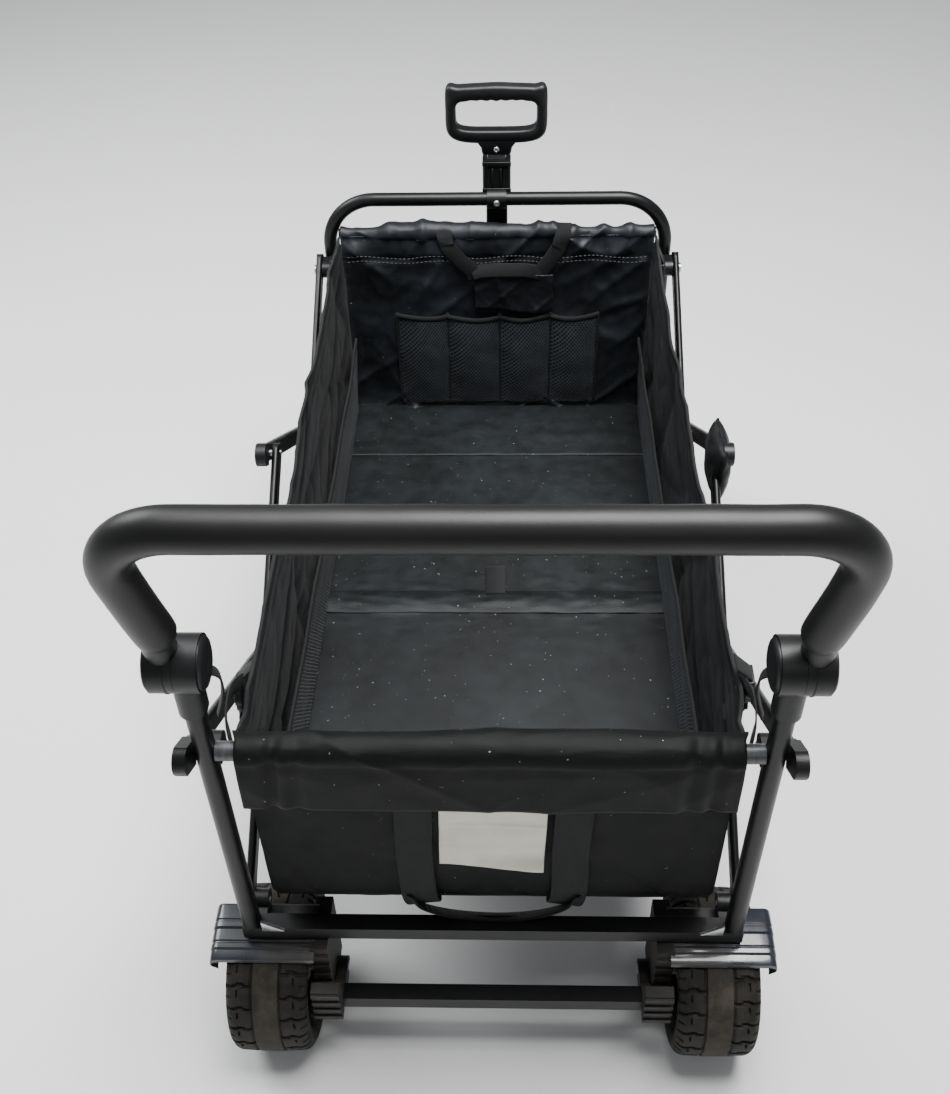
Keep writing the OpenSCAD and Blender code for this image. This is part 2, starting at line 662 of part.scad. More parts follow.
module front_cross_tube() color("#15171a")
  translate([0, frame_y, front_cross_z + cross_s / 2]) difference() {
    cube([2 * cross_x, cross_s, cross_s], center = true);
    cube([2 * cross_x + 2, cross_s - 3, cross_s - 3], center = true);
  }

module front_post_rods() color("#8c9094") both_sides()
  translate([hoop_x, frame_y, front_cross_z + cross_s]) cylinder(r = hoop_r - 1.5 - slide_play, h = front_leg_z1 - 5 - front_cross_z - cross_s);

module front_lower_blocks() color("#1b1d20") both_sides() difference() {
  union() {
    translate([0, half_span, pivot_low_z]) x_rod(12, inner_x - 15, outer_x - bar_t / 2 - 0.3);
    box([inner_x - 15, half_span - 10, pivot_low_z], [outer_x - bar_t / 2 - 0.3, half_span + 8, front_cross_z + cross_s]);
    box([inner_x - 15, half_span, front_cross_z + 1], [outer_x - bar_t / 2 - 0.3, frame_y - cross_s / 2, front_cross_z + cross_s]);
  }
  translate([0, half_span, pivot_low_z]) x_rod(hole_r, 0, 400);
}

housing_r = 26;
module caster_housings() color("#26282b") both_sides()
  translate([wheel_x, caster_y, front_cross_z - 22]) difference() {
    cylinder(r = housing_r, h = 22);
    translate([0, 0, -1]) cylinder(r = 8 + axle_play, h = 18);
  }

// Swivelling fork: legs either side of the wheel, crown, and a stem up into the housing
crown_z = 2 * wheel_r + 4;
crown_t = 7;
module caster_fork() difference() {
  translate([wheel_x, 0, 0]) union() {
    for (s = [-1, 1]) {
      box([s * (tyre_w / 2 + 7) - 3, front_axle_y - 16, wheel_r], [s * (tyre_w / 2 + 7) + 3, caster_y + 18, crown_z + crown_t]);
      translate([0, front_axle_y, wheel_r]) x_rod(16, s * (tyre_w / 2 + 7) - 3, s * (tyre_w / 2 + 7) + 3);
    }
    box([-tyre_w / 2 - 10, front_axle_y - 16, crown_z], [tyre_w / 2 + 10, caster_y + 18, crown_z + crown_t]);
    translate([0, caster_y, crown_z + crown_t - 1]) cylinder(r = 22, h = front_cross_z - 22 - crown_z - crown_t + 0.7);
    translate([0, caster_y, crown_z + crown_t - 1]) cylinder(r = 8, h = front_cross_z - crown_z - crown_t - 7);
    translate([0, front_axle_y, wheel_r]) x_rod(axle_r, -tyre_w / 2 - 8, tyre_w / 2 + 8);
  }
}
module caster_fork_left() color("#26282b") on_side(-1) caster_fork();
module caster_fork_right() color("#26282b") on_side(1) caster_fork();

module front_wheel() union() {
  tyre();
  front_rim();
}
module front_rim() {
  w = tyre_w / 2 - 12;
  difference() {
    union() {
      difference() {
        x_rod(rim_r + 2, -w, w);
        x_rod(rim_r - 5, -w - 1, w + 1);
      }
      x_rod(17, -w, w);
      for (i = [0:5]) rotate([60 * i, 0, 0]) box([w - 30, -7, 14], [w - 12, 7, rim_r - 4]);
    }
    x_rod(axle_r + axle_play, -w - 1, w + 1);
  }
}
module front_wheel_left() color("#3b3833") wheel_at(-1, front_axle_y) front_wheel();
module front_wheel_right() color("#3b3833") wheel_at(1, front_axle_y) front_wheel();

rear_cross_tube();
rear_post_rods();
rear_pivot_blocks();
wheel_brackets();
rear_fenders();
rear_axles();
brake_bar();
brake_pedals();
rear_tyre_left();
rear_rim_left();
rear_tyre_right();
rear_rim_right();
bars_rear_rising();
rising_bar_pins();
bars_rear_falling();
rear_bar_caps();
floor_support_tube();
bars_front_falling();
middle_bar_caps();
falling_bar_pins();
bars_front_rising();
front_bar_pins();
uprights();
rear_top_bar();
upper_pivot_blocks();
knuckle_housings();
push_handle_tube();
foam_grip();
knuckle_hubs();
knuckle_button_left();
knuckle_button_right();
rear_wall();
side_wall_left();
side_wall_right();
rear_floor_strip();
care_label();
rear_buckles();
floor_board_rear();
floor_board_front();
floor_pull_tab();
front_hoop();
front_rim_bar();
lower_hoop_tube();
front_pivot_blocks();
handle_clip();
front_wall();
mesh_pocket();
front_floor_strip();
pull_post();
pull_inner_tube();
pull_grip();
lock_sleeve();
front_cross_tube();
front_post_rods();
front_lower_blocks();
caster_housings();
caster_fork_left();
caster_fork_right();
front_wheel_left();
front_wheel_right();
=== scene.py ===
# %% [markdown]
# # A folding camp wagon
# The wagon is a steel scissor frame with a fabric basket hung inside it. The frame's shapes and
# joints come ready made, so this lesson is about the skins: cloth, webbing, foam, rubber and paint.
# Every number is in metres. +Y points at the pulling handle, and the wheels stand on z = 0.

# %% Loading the frame
import math

import bmesh
import bpy
import numpy as np
from mathutils import Matrix, Vector, noise


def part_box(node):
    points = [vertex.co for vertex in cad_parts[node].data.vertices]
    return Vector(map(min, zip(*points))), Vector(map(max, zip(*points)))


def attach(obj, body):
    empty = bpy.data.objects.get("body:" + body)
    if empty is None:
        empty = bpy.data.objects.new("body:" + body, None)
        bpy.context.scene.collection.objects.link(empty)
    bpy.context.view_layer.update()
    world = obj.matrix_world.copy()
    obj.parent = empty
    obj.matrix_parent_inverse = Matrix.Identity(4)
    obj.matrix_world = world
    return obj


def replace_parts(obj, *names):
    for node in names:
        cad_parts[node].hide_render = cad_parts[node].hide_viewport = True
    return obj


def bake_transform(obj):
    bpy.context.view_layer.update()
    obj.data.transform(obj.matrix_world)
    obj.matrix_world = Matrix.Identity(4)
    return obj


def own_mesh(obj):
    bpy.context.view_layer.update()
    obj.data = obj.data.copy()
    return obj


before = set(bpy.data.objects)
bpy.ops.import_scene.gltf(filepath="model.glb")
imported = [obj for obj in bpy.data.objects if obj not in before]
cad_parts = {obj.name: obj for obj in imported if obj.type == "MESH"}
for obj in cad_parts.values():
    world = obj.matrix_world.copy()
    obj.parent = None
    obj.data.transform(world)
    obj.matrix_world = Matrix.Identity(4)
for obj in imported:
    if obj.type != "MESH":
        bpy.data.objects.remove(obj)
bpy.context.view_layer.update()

# %% [markdown]
# ## Writing shaders as sums
# A material is a web of nodes. Wiring it by hand hides the idea, so one small class wraps a
# socket and lets ordinary operators add the Math nodes. Then a shader reads like the sum it is.

# %% A socket that can be added, multiplied and subtracted
class Wire:
    def __init__(self, tree, socket):
        self.tree, self.socket = tree, socket

    def math(self, operation, *others):
        return Shader.node_in(self.tree, "ShaderNodeMath", {"operation": operation},
                              dict(enumerate((self, *others))))

    def __add__(self, other): return self.math("ADD", other)
    def __radd__(self, other): return self.math("ADD", other)
    def __sub__(self, other): return self.math("SUBTRACT", other)
    def __rsub__(self, other): return Shader.value_in(self.tree, other).math("SUBTRACT", self)
    def __mul__(self, other): return self.math("MULTIPLY", other)
    def __rmul__(self, other): return self.math("MULTIPLY", other)
    def __gt__(self, other): return self.math("GREATER_THAN", other)

    def clamp(self):
        return Shader.node_in(self.tree, "ShaderNodeClamp", {}, {0: self})

    def ramp(self, low, high):
        return Shader.node_in(self.tree, "ShaderNodeMapRange", {"interpolation_type": "SMOOTHSTEP"},
                              {0: self, 1: low, 2: high, 3: 0.0, 4: 1.0})


class Shader:
    """One material: its node tree, its main shader and short ways to add nodes."""

    def __init__(self, name, **settings):
        self.material = bpy.data.materials.new(name)
        self.material.use_nodes = True
        self.tree = self.material.node_tree
        self.main = self.tree.nodes["Principled BSDF"]
        for socket, value in settings.items():
            self.main.inputs[socket.replace("_", " ")].default_value = value

    @staticmethod
    def node_in(tree, kind, settings, inputs, output=0):
        node = tree.nodes.new(kind)
        for key, value in settings.items():
            setattr(node, key, value)
        for key, value in inputs.items():
            if isinstance(value, Wire):
                tree.links.new(value.socket, node.inputs[key])
            else:
                node.inputs[key].default_value = value
        return Wire(tree, node.outputs[output])

    @staticmethod
    def value_in(tree, number):
        node = tree.nodes.new("ShaderNodeValue")
        node.outputs[0].default_value = number
        return Wire(tree, node.outputs[0])

    def node(self, kind, settings=None, inputs=None, output=0):
        return Shader.node_in(self.tree, kind, settings or {}, inputs or {}, output)

    def place(self):
        return self.node("ShaderNodeTexCoord", output="Object")

    def stretched(self, scale):
        return self.node("ShaderNodeMapping", inputs={"Vector": self.place(), "Scale": scale})

    def noise(self, scale, detail=3.0, roughness=0.55, where=None):
        return self.node("ShaderNodeTexNoise",
                         inputs={"Vector": where or self.place(), "Scale": scale,
                                 "Detail": detail, "Roughness": roughness})

    def wave(self, scale, direction):
        return self.node("ShaderNodeTexWave", {"bands_direction": direction},
                         {"Vector": self.place(), "Scale": scale})

    def cells(self, scale, feature):
        return self.node("ShaderNodeTexVoronoi", {"feature": feature},
                         {"Vector": self.place(), "Scale": scale})

    def mix(self, share, low, high):
        return self.node("ShaderNodeMix", {"data_type": "RGBA"}, {0: share, 6: low, 7: high},
                         output=2)

    def bump(self, height, strength, distance):
        self.into("Normal", self.node("ShaderNodeBump", inputs={
            "Height": height, "Strength": strength, "Distance": distance}))

    def into(self, socket, wire):
        self.tree.links.new(wire.socket, self.main.inputs[socket])


def grey(r, g, b):
    """A colour as the eye reads it on a screen, turned into light."""
    return tuple(((c / 255 + 0.055) / 1.055) ** 2.4 for c in (r, g, b)) + (1.0,)


# %% [markdown]
# ## Metal finishes
# The tubes are powder coated: a satin black skin with a faint orange-peel texture. The pins and
# the sliding rods are plated steel, and the rear top bar is dull zinc, each rubbed lengthwise.

# %% Powder coat and plated steel
def powder_coat():
    s = Shader("powder_coat", Specular_IOR_Level=0.25, Coat_Weight=0.07, Coat_Roughness=0.22)
    cloud = s.noise(9.0, 4.0)
    peel = s.noise(900.0, 2.0)
    s.into("Base Color", s.mix(cloud.ramp(0.35, 0.75), grey(4, 5, 6), grey(11, 12, 13)))
    s.into("Roughness", 0.30 + 0.22 * cloud)
    s.bump(peel, 0.12, 0.0004)
    return s.material


def plated_steel():
    s = Shader("plated_steel", Metallic=1.0)
    streak = s.noise(60.0, 3.0, where=s.stretched((40.0, 1.0, 1.0)))
    s.into("Base Color", s.mix(streak, grey(150, 152, 155), grey(205, 206, 208)))
    s.into("Roughness", 0.22 + 0.22 * streak)
    s.bump(streak, 0.1, 0.0003)
    return s.material


def zinc_tube():
    s = Shader("zinc_tube", Metallic=0.6)
    rub = s.noise(70.0, 4.0, where=s.stretched((6.0, 1.0, 1.0)))
    s.into("Base Color", s.mix(rub, grey(44, 46, 48), grey(98, 100, 102)))
    s.into("Roughness", 0.30 + 0.2 * rub)
    s.bump(rub, 0.1, 0.0003)
    return s.material


paint = powder_coat()
zinc = zinc_tube()
steel = plated_steel()
print("metal finishes", paint.name, zinc.name, steel.name)

# %% [markdown]
# ## Moulded plastics
# Knuckles, caps and buckles are grained nylon. The wheel saddles are a glossier blue-grey
# moulding that carries road dust in its low places, so the dust is mixed in with a soft noise.

# %% Plastics
def moulded_plastic(name, dark, light, rough, grain):
    s = Shader(name, Specular_IOR_Level=0.32)
    cloud = s.noise(14.0, 4.0)
    leather = s.cells(1400.0, "SMOOTH_F1")
    s.into("Base Color", s.mix(cloud.ramp(0.3, 0.8), dark, light))
    s.into("Roughness", rough + 0.16 * cloud)
    s.bump(leather, grain, 0.0003)
    return s.material


def saddle_plastic():
    s = Shader("saddle_plastic", Specular_IOR_Level=0.4, Coat_Weight=0.45, Coat_Roughness=0.1)
    dust = s.noise(11.0, 6.0, 0.65).ramp(0.42, 0.72)
    across = s.node("ShaderNodeSeparateXYZ", inputs={0: s.place()}).math("ABSOLUTE")
    inner = across.ramp(0.245, 0.285)
    outer_tone = s.mix(dust * 0.6, grey(26, 30, 38), grey(38, 40, 44))
    # Towards the upright, the inner half of each saddle is mixed towards a browner grey and made rougher.
    s.into("Base Color", s.mix((1.0 - inner) * 0.8, outer_tone, grey(40, 37, 33)))
    s.into("Roughness", 0.20 + 0.22 * dust + 0.25 * (1.0 - inner))
    s.bump(s.noise(500.0, 3.0), 0.08, 0.0004)
    return s.material


plastic = moulded_plastic("moulded_plastic", grey(8, 9, 10), grey(17, 18, 19), 0.34, 0.2)
dusty_plastic = moulded_plastic("dusty_plastic", grey(22, 21, 20), grey(50, 47, 43), 0.55, 0.3)
saddle = saddle_plastic()
print("plastics", plastic.name, dusty_plastic.name, saddle.name)

# %% [markdown]
# ## Rubber and foam
# The tyres are grey-brown with dried dust, thickest on the smooth running band in the middle.
# The pushing grip is closed-cell foam: olive black, matt, with a fine pitted skin.

# %% Rubber and foam
def tyre_rubber():
    s = Shader("tyre_rubber", Specular_IOR_Level=0.18)
    patches = s.noise(26.0, 6.0, 0.7)
    specks = s.noise(420.0, 4.0, 0.7)
    dust = (patches.ramp(0.38, 0.68) * 0.75 + specks.ramp(0.55, 0.75) * 0.4).clamp()
    band = s.node("ShaderNodeSeparateXYZ", inputs={0: s.place()}).math("ABSOLUTE")
    band = 1.0 - (band - 0.263).math("ABSOLUTE").ramp(0.0130, 0.0165)
    dust = (dust * (0.45 + 0.35 * band) + band * 0.25).clamp()
    s.into("Base Color", s.mix(dust, grey(19, 18, 17), grey(66, 61, 54)))
    s.into("Roughness", 0.62 + 0.3 * dust)
    s.bump(specks + patches * 0.6, 0.35, 0.0006)
    return s.material


def grip_foam():
    s = Shader("grip_foam", Specular_IOR_Level=0.30)
    cloud = s.noise(7.0, 4.0)
    pits = s.cells(1900.0, "F1")
    s.into("Base Color", s.mix(cloud, grey(6, 7, 6), grey(13, 14, 12)))
    s.into("Roughness", 0.36 + 0.14 * cloud)
    s.bump(pits, 0.18, 0.0003)
    return s.material


rubber = tyre_rubber()
foam = grip_foam()
print("soft solids", rubber.name, foam.name)

# %% [markdown]
# ## Cloth
# The basket is coated polyester. Two crossed waves of fine ridges make its plain weave, a broad
# noise makes the coating patchy, and a few bright specks are lint. The same weave comes in four
# tones: the side walls carry the plain one, the front wall a lighter copy as painted light, the rear
# wall a copy almost black as painted shade, and the floor a lighter copy with a few more lint specks.

# %% Coated polyester and webbing
def polyester(name, dark, light, lint, rough, gloss):
    s = Shader(name, Specular_IOR_Level=gloss, Sheen_Weight=0.03, Sheen_Roughness=0.4)
    cloud = s.noise(6.0, 5.0, 0.6)
    patch = s.noise(38.0, 4.0, 0.6)
    weft = s.wave(420.0, "X")
    warp = s.wave(420.0, "Z")
    rows = s.wave(420.0, "Y")
    thread = weft * 0.4 + warp * 0.4 + rows * 0.4
    spots = (s.noise(230.0, 1.0) > lint)
    base = s.mix((cloud * 0.65 + patch * 0.35).ramp(0.32, 0.72), dark, light)
    s.into("Base Color", s.mix(spots * 0.55, base, grey(160, 160, 155)))
    s.into("Roughness", rough + 0.22 * patch)
    s.bump(thread + patch * 1.6, 0.28, 0.0005)
    return s.material


def webbing_cloth():
    s = Shader("webbing_cloth", Specular_IOR_Level=0.25, Sheen_Weight=0.04, Sheen_Roughness=0.5)
    ribs = s.wave(260.0, "DIAGONAL")
    tint = s.noise(60.0, 3.0)
    s.into("Base Color", s.mix(tint, grey(8, 9, 10), grey(19, 21, 22)))
    s.into("Roughness", 0.6 + 0.2 * tint)
    s.bump(ribs, 0.7, 0.0009)
    return s.material


wall_cloth = polyester("wall_cloth", grey(6, 7, 9), grey(14, 16, 19), 0.80, 0.36, 0.20)
# Lighter copy of the wall cloth for the front wall and its flap: painted light.
front_cloth_painted_light = polyester("front_cloth_painted_light", grey(13, 15, 18), grey(34, 38, 43), 0.80, 0.34, 0.32)
# Darker copy of the wall cloth for the rear wall, almost black: painted shade.
rear_cloth_painted_shade = polyester("rear_cloth_painted_shade", grey(3, 4, 4), grey(9, 11, 11), 0.79, 0.46, 0.13)
# The floor's copy of the cloth is lighter than the side walls, with a few more lint specks.
floor_cloth = polyester("floor_cloth", grey(11, 13, 14), grey(25, 29, 31), 0.78, 0.38, 0.22)
webbing = webbing_cloth()
print("cloths", wall_cloth.name, front_cloth_painted_light.name, rear_cloth_painted_shade.name, floor_cloth.name, webbing.name)

# %% [markdown]
# ## Mesh, label and thread
# The pockets are knitted mesh: real holes, cut with Alpha where two crossed waves are both low.
# The care label is plain satin with pressed folds and nothing printed on it.

# %% Mesh, label and thread
def knitted_mesh(name, pitch, cut):
    s = Shader(name, Roughness=0.6, Sheen_Weight=0.05)
    spot = s.place()
    axes = [s.node("ShaderNodeSeparateXYZ", inputs={0: spot}, output=k) for k in range(3)]
    along = (axes[0] + axes[1]) * pitch
    up = axes[2] * (pitch * 0.8)
    one = (along + up).math("SINE").math("ABSOLUTE")
    two = (along - up).math("SINE").math("ABSOLUTE")
    strand = one.math("MINIMUM", two)
    holes = strand > cut
    s.into("Base Color", s.mix(s.noise(90.0, 3.0), grey(30, 33, 36), grey(66, 71, 77)))
    s.into("Alpha", 1.0 - holes * 0.95)
    s.bump(1.0 - strand, 0.6, 0.0008)
    return s.material


def label_satin():
    s = Shader("label_satin", Roughness=0.5, Sheen_Weight=0.2)
    s.into("Base Color", s.mix(s.noise(30.0, 4.0), grey(196, 193, 178), grey(224, 222, 208)))
    s.bump(s.wave(520.0, "X") + s.noise(60.0, 3.0), 0.2, 0.0003)
    return s.material


def sewing_thread():
    s = Shader("sewing_thread", Sheen_Weight=0.2)
    s.into("Base Color", s.mix(s.noise(400.0, 2.0), grey(30, 31, 33), grey(70, 72, 74)))
    s.into("Roughness", 0.45 + 0.25 * s.noise(300.0, 2.0))
    return s.material


pocket_mesh = knitted_mesh("pocket_mesh", 520.0, 0.34)
label_cloth = label_satin()
thread = sewing_thread()
print("trims", pocket_mesh.name, label_cloth.name, thread.name)

# %% [markdown]
# ## The camera, the floor and the light
# The camera stands behind the wagon at about eye height and looks down into the basket. Three
# large soft lamps give the gentle highlights that satin paint and coated cloth need.

# %% Camera, floor and lamps
def look(position, pitch, yaw, roll, focal_share):
    p, y, r = (math.radians(v) for v in (pitch, yaw, roll))
    forward = Vector((math.sin(y) * math.cos(p), math.cos(y) * math.cos(p), -math.sin(p)))
    right = Vector((math.cos(y), -math.sin(y), 0.0))
    up = right.cross(forward)
    right, up = (math.cos(r) * right + math.sin(r) * up, -math.sin(r) * right + math.cos(r) * up)
    camera = bpy.data.objects.new("camera", bpy.data.cameras.new("camera"))
    sensor = 36.0
    camera.data.sensor_width = camera.data.sensor_height = sensor
    camera.data.lens = focal_share * sensor
    camera.data.clip_start = 0.02
    turn = Matrix((right, up, -forward)).transposed().to_4x4()
    camera.matrix_world = Matrix.Translation(position) @ turn
    bpy.context.collection.objects.link(camera)
    bpy.context.scene.camera = camera


def lamp(name, position, target, size, power, tint=(1.0, 1.0, 1.0)):
    light = bpy.data.objects.new(name, bpy.data.lights.new(name, "AREA"))
    light.data.shape, light.data.size, light.data.energy = "DISK", size, power
    light.data.color = tint
    light.location = position
    aim = Vector(target) - Vector(position)
    light.rotation_euler = aim.to_track_quat("-Z", "Y").to_euler()
    bpy.context.collection.objects.link(light)


def pale_floor():
    s = Shader("studio_floor", Roughness=0.8)
    s.into("Base Color", s.mix(s.noise(1.5, 3.0), grey(212, 212, 211), grey(220, 220, 219)))
    mesh = bpy.data.meshes.new("studio_floor")
    half, under = 7.0, -0.0015
    corners = [(-half, -half), (half, -half), (half, half), (-half, half)]
    mesh.from_pydata([(x, y, under) for x, y in corners], [], [(0, 1, 2, 3)])
    mesh.materials.append(s.material)
    obj = bpy.data.objects.new("studio_floor", mesh)
    bpy.context.collection.objects.link(obj)


eye = (0.0190, -1.2375, 1.4714)
pitch, yaw, roll = 42.22, -2.171, -1.405
lens_share = 1193.5 / 1094
look(eye, pitch, yaw, roll, lens_share)
pale_floor()
lamp("window", (-2.1, 0.9, 2.6), (0.0, 0.0, 0.3), 1.8, 110.0, (0.97, 0.99, 1.0))
lamp("sky", (0.4, -0.1, 3.2), (0.0, 0.15, 0.3), 1.9, 255.0)
lamp("room", (0.6, -2.8, 2.6), (0.0, -0.3, 0.4), 1.4, 7.0, (1.0, 0.98, 0.96))
world = bpy.data.worlds.new("studio")
world.use_nodes = True
backdrop = world.node_tree.nodes["Background"].inputs
backdrop["Color"].default_value = (0.92, 0.95, 1.0, 1.0)
backdrop["Strength"].default_value = 0.34
bpy.context.scene.world = world
print("camera and lamps set")

# %% [markdown]
# ## Helpers for building pieces
# Most pieces are one of four things: a grid of points given by a formula (cloth), a profile swept
# along a path (webbing, cord, seams), a profile turned about an axle (wheels), or a flat outline
# given depth and soft edges (mouldings). One helper for each keeps the piece cells short.

# %% Turning points and faces into finished pieces
def piece(name, vertices, faces, material, body, slot):
    mesh = bpy.data.meshes.new(name)
    mesh.from_pydata([tuple(v) for v in vertices], [], faces)
    mesh.validate()
    mesh.materials.append(material)
    mesh.polygons.foreach_set("use_smooth", [True] * len(mesh.polygons))
    obj = bpy.data.objects.new(name, mesh)
    bpy.context.collection.objects.link(obj)
    if body:
        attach(obj, body)
    return obj


def moulding(name, shape, body):
    return piece(name, *shape, plastic, body, "black_plastic")


def thicken(obj, thickness):
    """Give a sheet its thickness behind the face that was drawn, and bake the result."""
    solid = obj.modifiers.new("thickness", "SOLIDIFY")
    solid.thickness, solid.offset = thickness, -1.0
    solid.use_even_offset = False
    bpy.context.view_layer.update()
    evaluated = obj.evaluated_get(bpy.context.evaluated_depsgraph_get())
    solved = bpy.data.meshes.new_from_object(evaluated)
    obj.modifiers.clear()
    old = obj.data
    obj.data = solved
    bpy.data.meshes.remove(old)


def soften(obj, width, segments=2, angle=35.0):
    bevel = obj.modifiers.new("soft_edges", "BEVEL")
    bevel.width, bevel.segments = width, segments
    bevel.limit_method, bevel.angle_limit = "ANGLE", math.radians(angle)
    bevel.harden_normals = False
    return obj


# %% [markdown]
# Every piece here is rings of points laid one after another, so one function makes all their
# faces. A grid sheet is a function of two shares, u and v, each from 0 to 1.

# %% Faces between rings, and grid sheets
SIDES = (("left", -1), ("right", 1))


def skin(rings, across, close_rings=False, close_section=False):
    """Four-sided faces between neighbouring rings that have `across` points each."""
    return [(i * across + k, i * across + (k + 1) % across,
             (i + 1) % rings * across + (k + 1) % across, (i + 1) % rings * across + k)
            for i in range(rings if close_rings else rings - 1)
            for k in range(across if close_section else across - 1)]


def grid(nu, nv, formula, closed_u=False):
    points = [formula(i / (nu if closed_u else nu - 1), j / (nv - 1))
              for j in range(nv) for i in range(nu)]
    return points, skin(nv, nu, close_section=closed_u)


def smooth_noise(x, y, z=0.0):
    return noise.noise(Vector((x, y, z)))


def ease(t):
    t = min(max(t, 0.0), 1.0)
    return t * t * (3 - 2 * t)


def sheet_area(obj):
    return sum(p.area for p in obj.data.polygons)


# %% [markdown]
# A swept piece carries a small cross-section along a path. The section turns with the path and
# keeps one side facing the given direction, so webbing lies flat and a seam stays on its cloth.

# %% Sweeping a profile along a path
def smooth_path(points, count):
    p = np.array(points, dtype=float)
    step = np.linalg.norm(np.diff(p, axis=0), axis=1)
    t = np.concatenate([[0], np.cumsum(np.sqrt(step))])
    p = np.vstack([2 * p[0] - p[1], p, 2 * p[-1] - p[-2]])
    t = np.concatenate([[t[0] - (t[1] - t[0])], t, [t[-1] + (t[-1] - t[-2])]])
    out = []
    for s in np.linspace(t[1], t[-2], count):
        i = min(max(int(np.searchsorted(t, s, side="right")) - 1, 1), len(t) - 3)
        a, b, c, d = (t[i - 1 + k] for k in range(4))
        u = (s - b) / (c - b)
        m1 = (p[i + 1] - p[i - 1]) / (c - a) * (c - b)
        m2 = (p[i + 2] - p[i]) / (d - b) * (c - b)
        out.append((2 * u**3 - 3 * u**2 + 1) * p[i] + (u**3 - 2 * u**2 + u) * m1
                   + (-2 * u**3 + 3 * u**2) * p[i + 1] + (u**3 - u**2) * m2)
    return [Vector(v) for v in out]


def sweep(path, section, face):
    """face is a direction or a function of the index: the way the section's second axis points."""
    points, m, last = [], len(section), len(path) - 1
    for i, here in enumerate(path):
        along = (path[min(i + 1, last)] - path[max(i - 1, 0)]).normalized()
        up = Vector(face(i) if callable(face) else face)
        side = along.cross(up).normalized()
        up = side.cross(along).normalized()
        points += [here + side * a + up * b for a, b in section]
    ends = [tuple(range(m - 1, -1, -1)), tuple(last * m + k for k in range(m))]
    return points, skin(len(path), m, close_section=True) + ends


def round_section(radius, count=10):
    return [(radius * math.cos(2 * math.pi * k / count), radius * math.sin(2 * math.pi * k / count))
            for k in range(count)]


def strap_section(width, thickness):
    w, t = width / 2, thickness / 2
    return [(-w, -t * 0.4), (-w + t, -t), (w - t, -t), (w, -t * 0.4),
            (w, t * 0.4), (w - t, t), (-w + t, t), (-w, t * 0.4)]


def tape(name, path, section, face, body):
    return piece(name, *sweep(path, section, face), webbing, body, "webbing")


def strap(name, points, width, face, body, thickness=0.0018, count=40):
    return tape(name, smooth_path(points, count), strap_section(width, thickness), face, body)


# %% [markdown]
# Turned pieces are rings of a profile around an axle along X.

# %% Turning a profile about an axle
def turned(profile, centre, count=64, closed=True):
    """profile is a list of (x offset, radius); closed joins its last point to its first."""
    points = []
    for i in range(count):
        a = 2 * math.pi * i / count
        points += [Vector(centre) + Vector((x, r * math.cos(a), r * math.sin(a)))
                   for x, r in profile]
    return points, skin(count, len(profile), True, closed)


def slab(outline, depth, place):
    """A flat outline given depth; place(x, y, z) puts a point of it in the frame."""
    m = len(outline)
    points = [place(x, y, z) for z in (-depth / 2, depth / 2) for x, y in outline]
    ends = [tuple(range(m - 1, -1, -1)), tuple(range(m, 2 * m))]
    return points, ends + skin(2, m, close_section=True)


def joined(*parts):
    points, faces = [], []
    for some_points, some_faces in parts:
        start = len(points)
        points += list(some_points)
        faces += [tuple(i + start for i in face) for face in some_faces]
    return points, faces


print("helpers ready")

# %% [markdown]
# ## Paint, steel and mouldings on the ready-made parts
# Hard parts keep their own shapes. Each gets its finish and a narrow bevel, because no bent or
# moulded edge is perfectly sharp and the bevel is what catches the light.

# %% Finishes and soft edges for the hard parts
finishes = {
    paint: ["rear_cross_tube", "brake_bar", "bars_rear_rising", "bars_rear_falling",
            "bars_front_falling", "bars_front_rising", "floor_support_tube", "uprights",
            "push_handle_tube", "front_hoop", "front_rim_bar", "lower_hoop_tube",
            "front_cross_tube", "pull_post"],
    steel: ["rear_post_rods", "front_post_rods", "rear_axles", "rising_bar_pins",
            "falling_bar_pins", "front_bar_pins", "pull_inner_tube"],
    plastic: ["rear_pivot_blocks", "upper_pivot_blocks", "rear_bar_caps", "middle_bar_caps",
              "knuckle_housings", "knuckle_hubs", "knuckle_button_left", "knuckle_button_right",
              "front_pivot_blocks", "handle_clip", "lock_sleeve", "front_lower_blocks",
              "caster_housings", "caster_fork_left", "caster_fork_right", "rear_rim_left",
              "rear_rim_right"],
    dusty_plastic: ["wheel_brackets", "brake_pedals"],
    zinc: ["rear_top_bar"],
}
for material, names in finishes.items():
    for name in names:
        part = bpy.data.objects[name]
        part.data.materials.clear()
        part.data.materials.append(material)
        soften(part, 0.0006 if material is steel else 0.0011)
print("hard parts finished:", sum(len(names) for names in finishes.values()))

# %% [markdown]
# ## Tyres
# A wide beach tyre has a smooth band in the middle and two rows of lugs on each side, cut apart
# by grooves. The grooves are real geometry: the tyre is one turned grid whose points are pushed
# in wherever a groove runs, and the rows of points are set close together at the groove walls.

# %% Tread pattern
tyre_half, tyre_radius, shoulder = 0.048, 0.0983, 0.013
lugs, steps_per_lug = 22, 20


def groove(x, step):
    """Depth of the tread's grooves: bent cross grooves, short notches and one edge line."""
    across, beat = abs(x), (step + (steps_per_lug // 2 if x > 0 else 0)) % steps_per_lug
    if across < 0.0152 or across > 0.0470:
        return 0.0
    bend = int(min(abs(across - 0.030), 0.008) / 0.0027)
    if beat - bend in (0, 1, 2):
        return 0.0036
    if across < 0.0166:
        return 0.0022
    notch = beat - bend in (10, 11) and across > 0.0400
    wall = 0.0318 < across < 0.0340 and 5 < beat - bend < 11
    return 0.0028 if notch or wall else 0.0


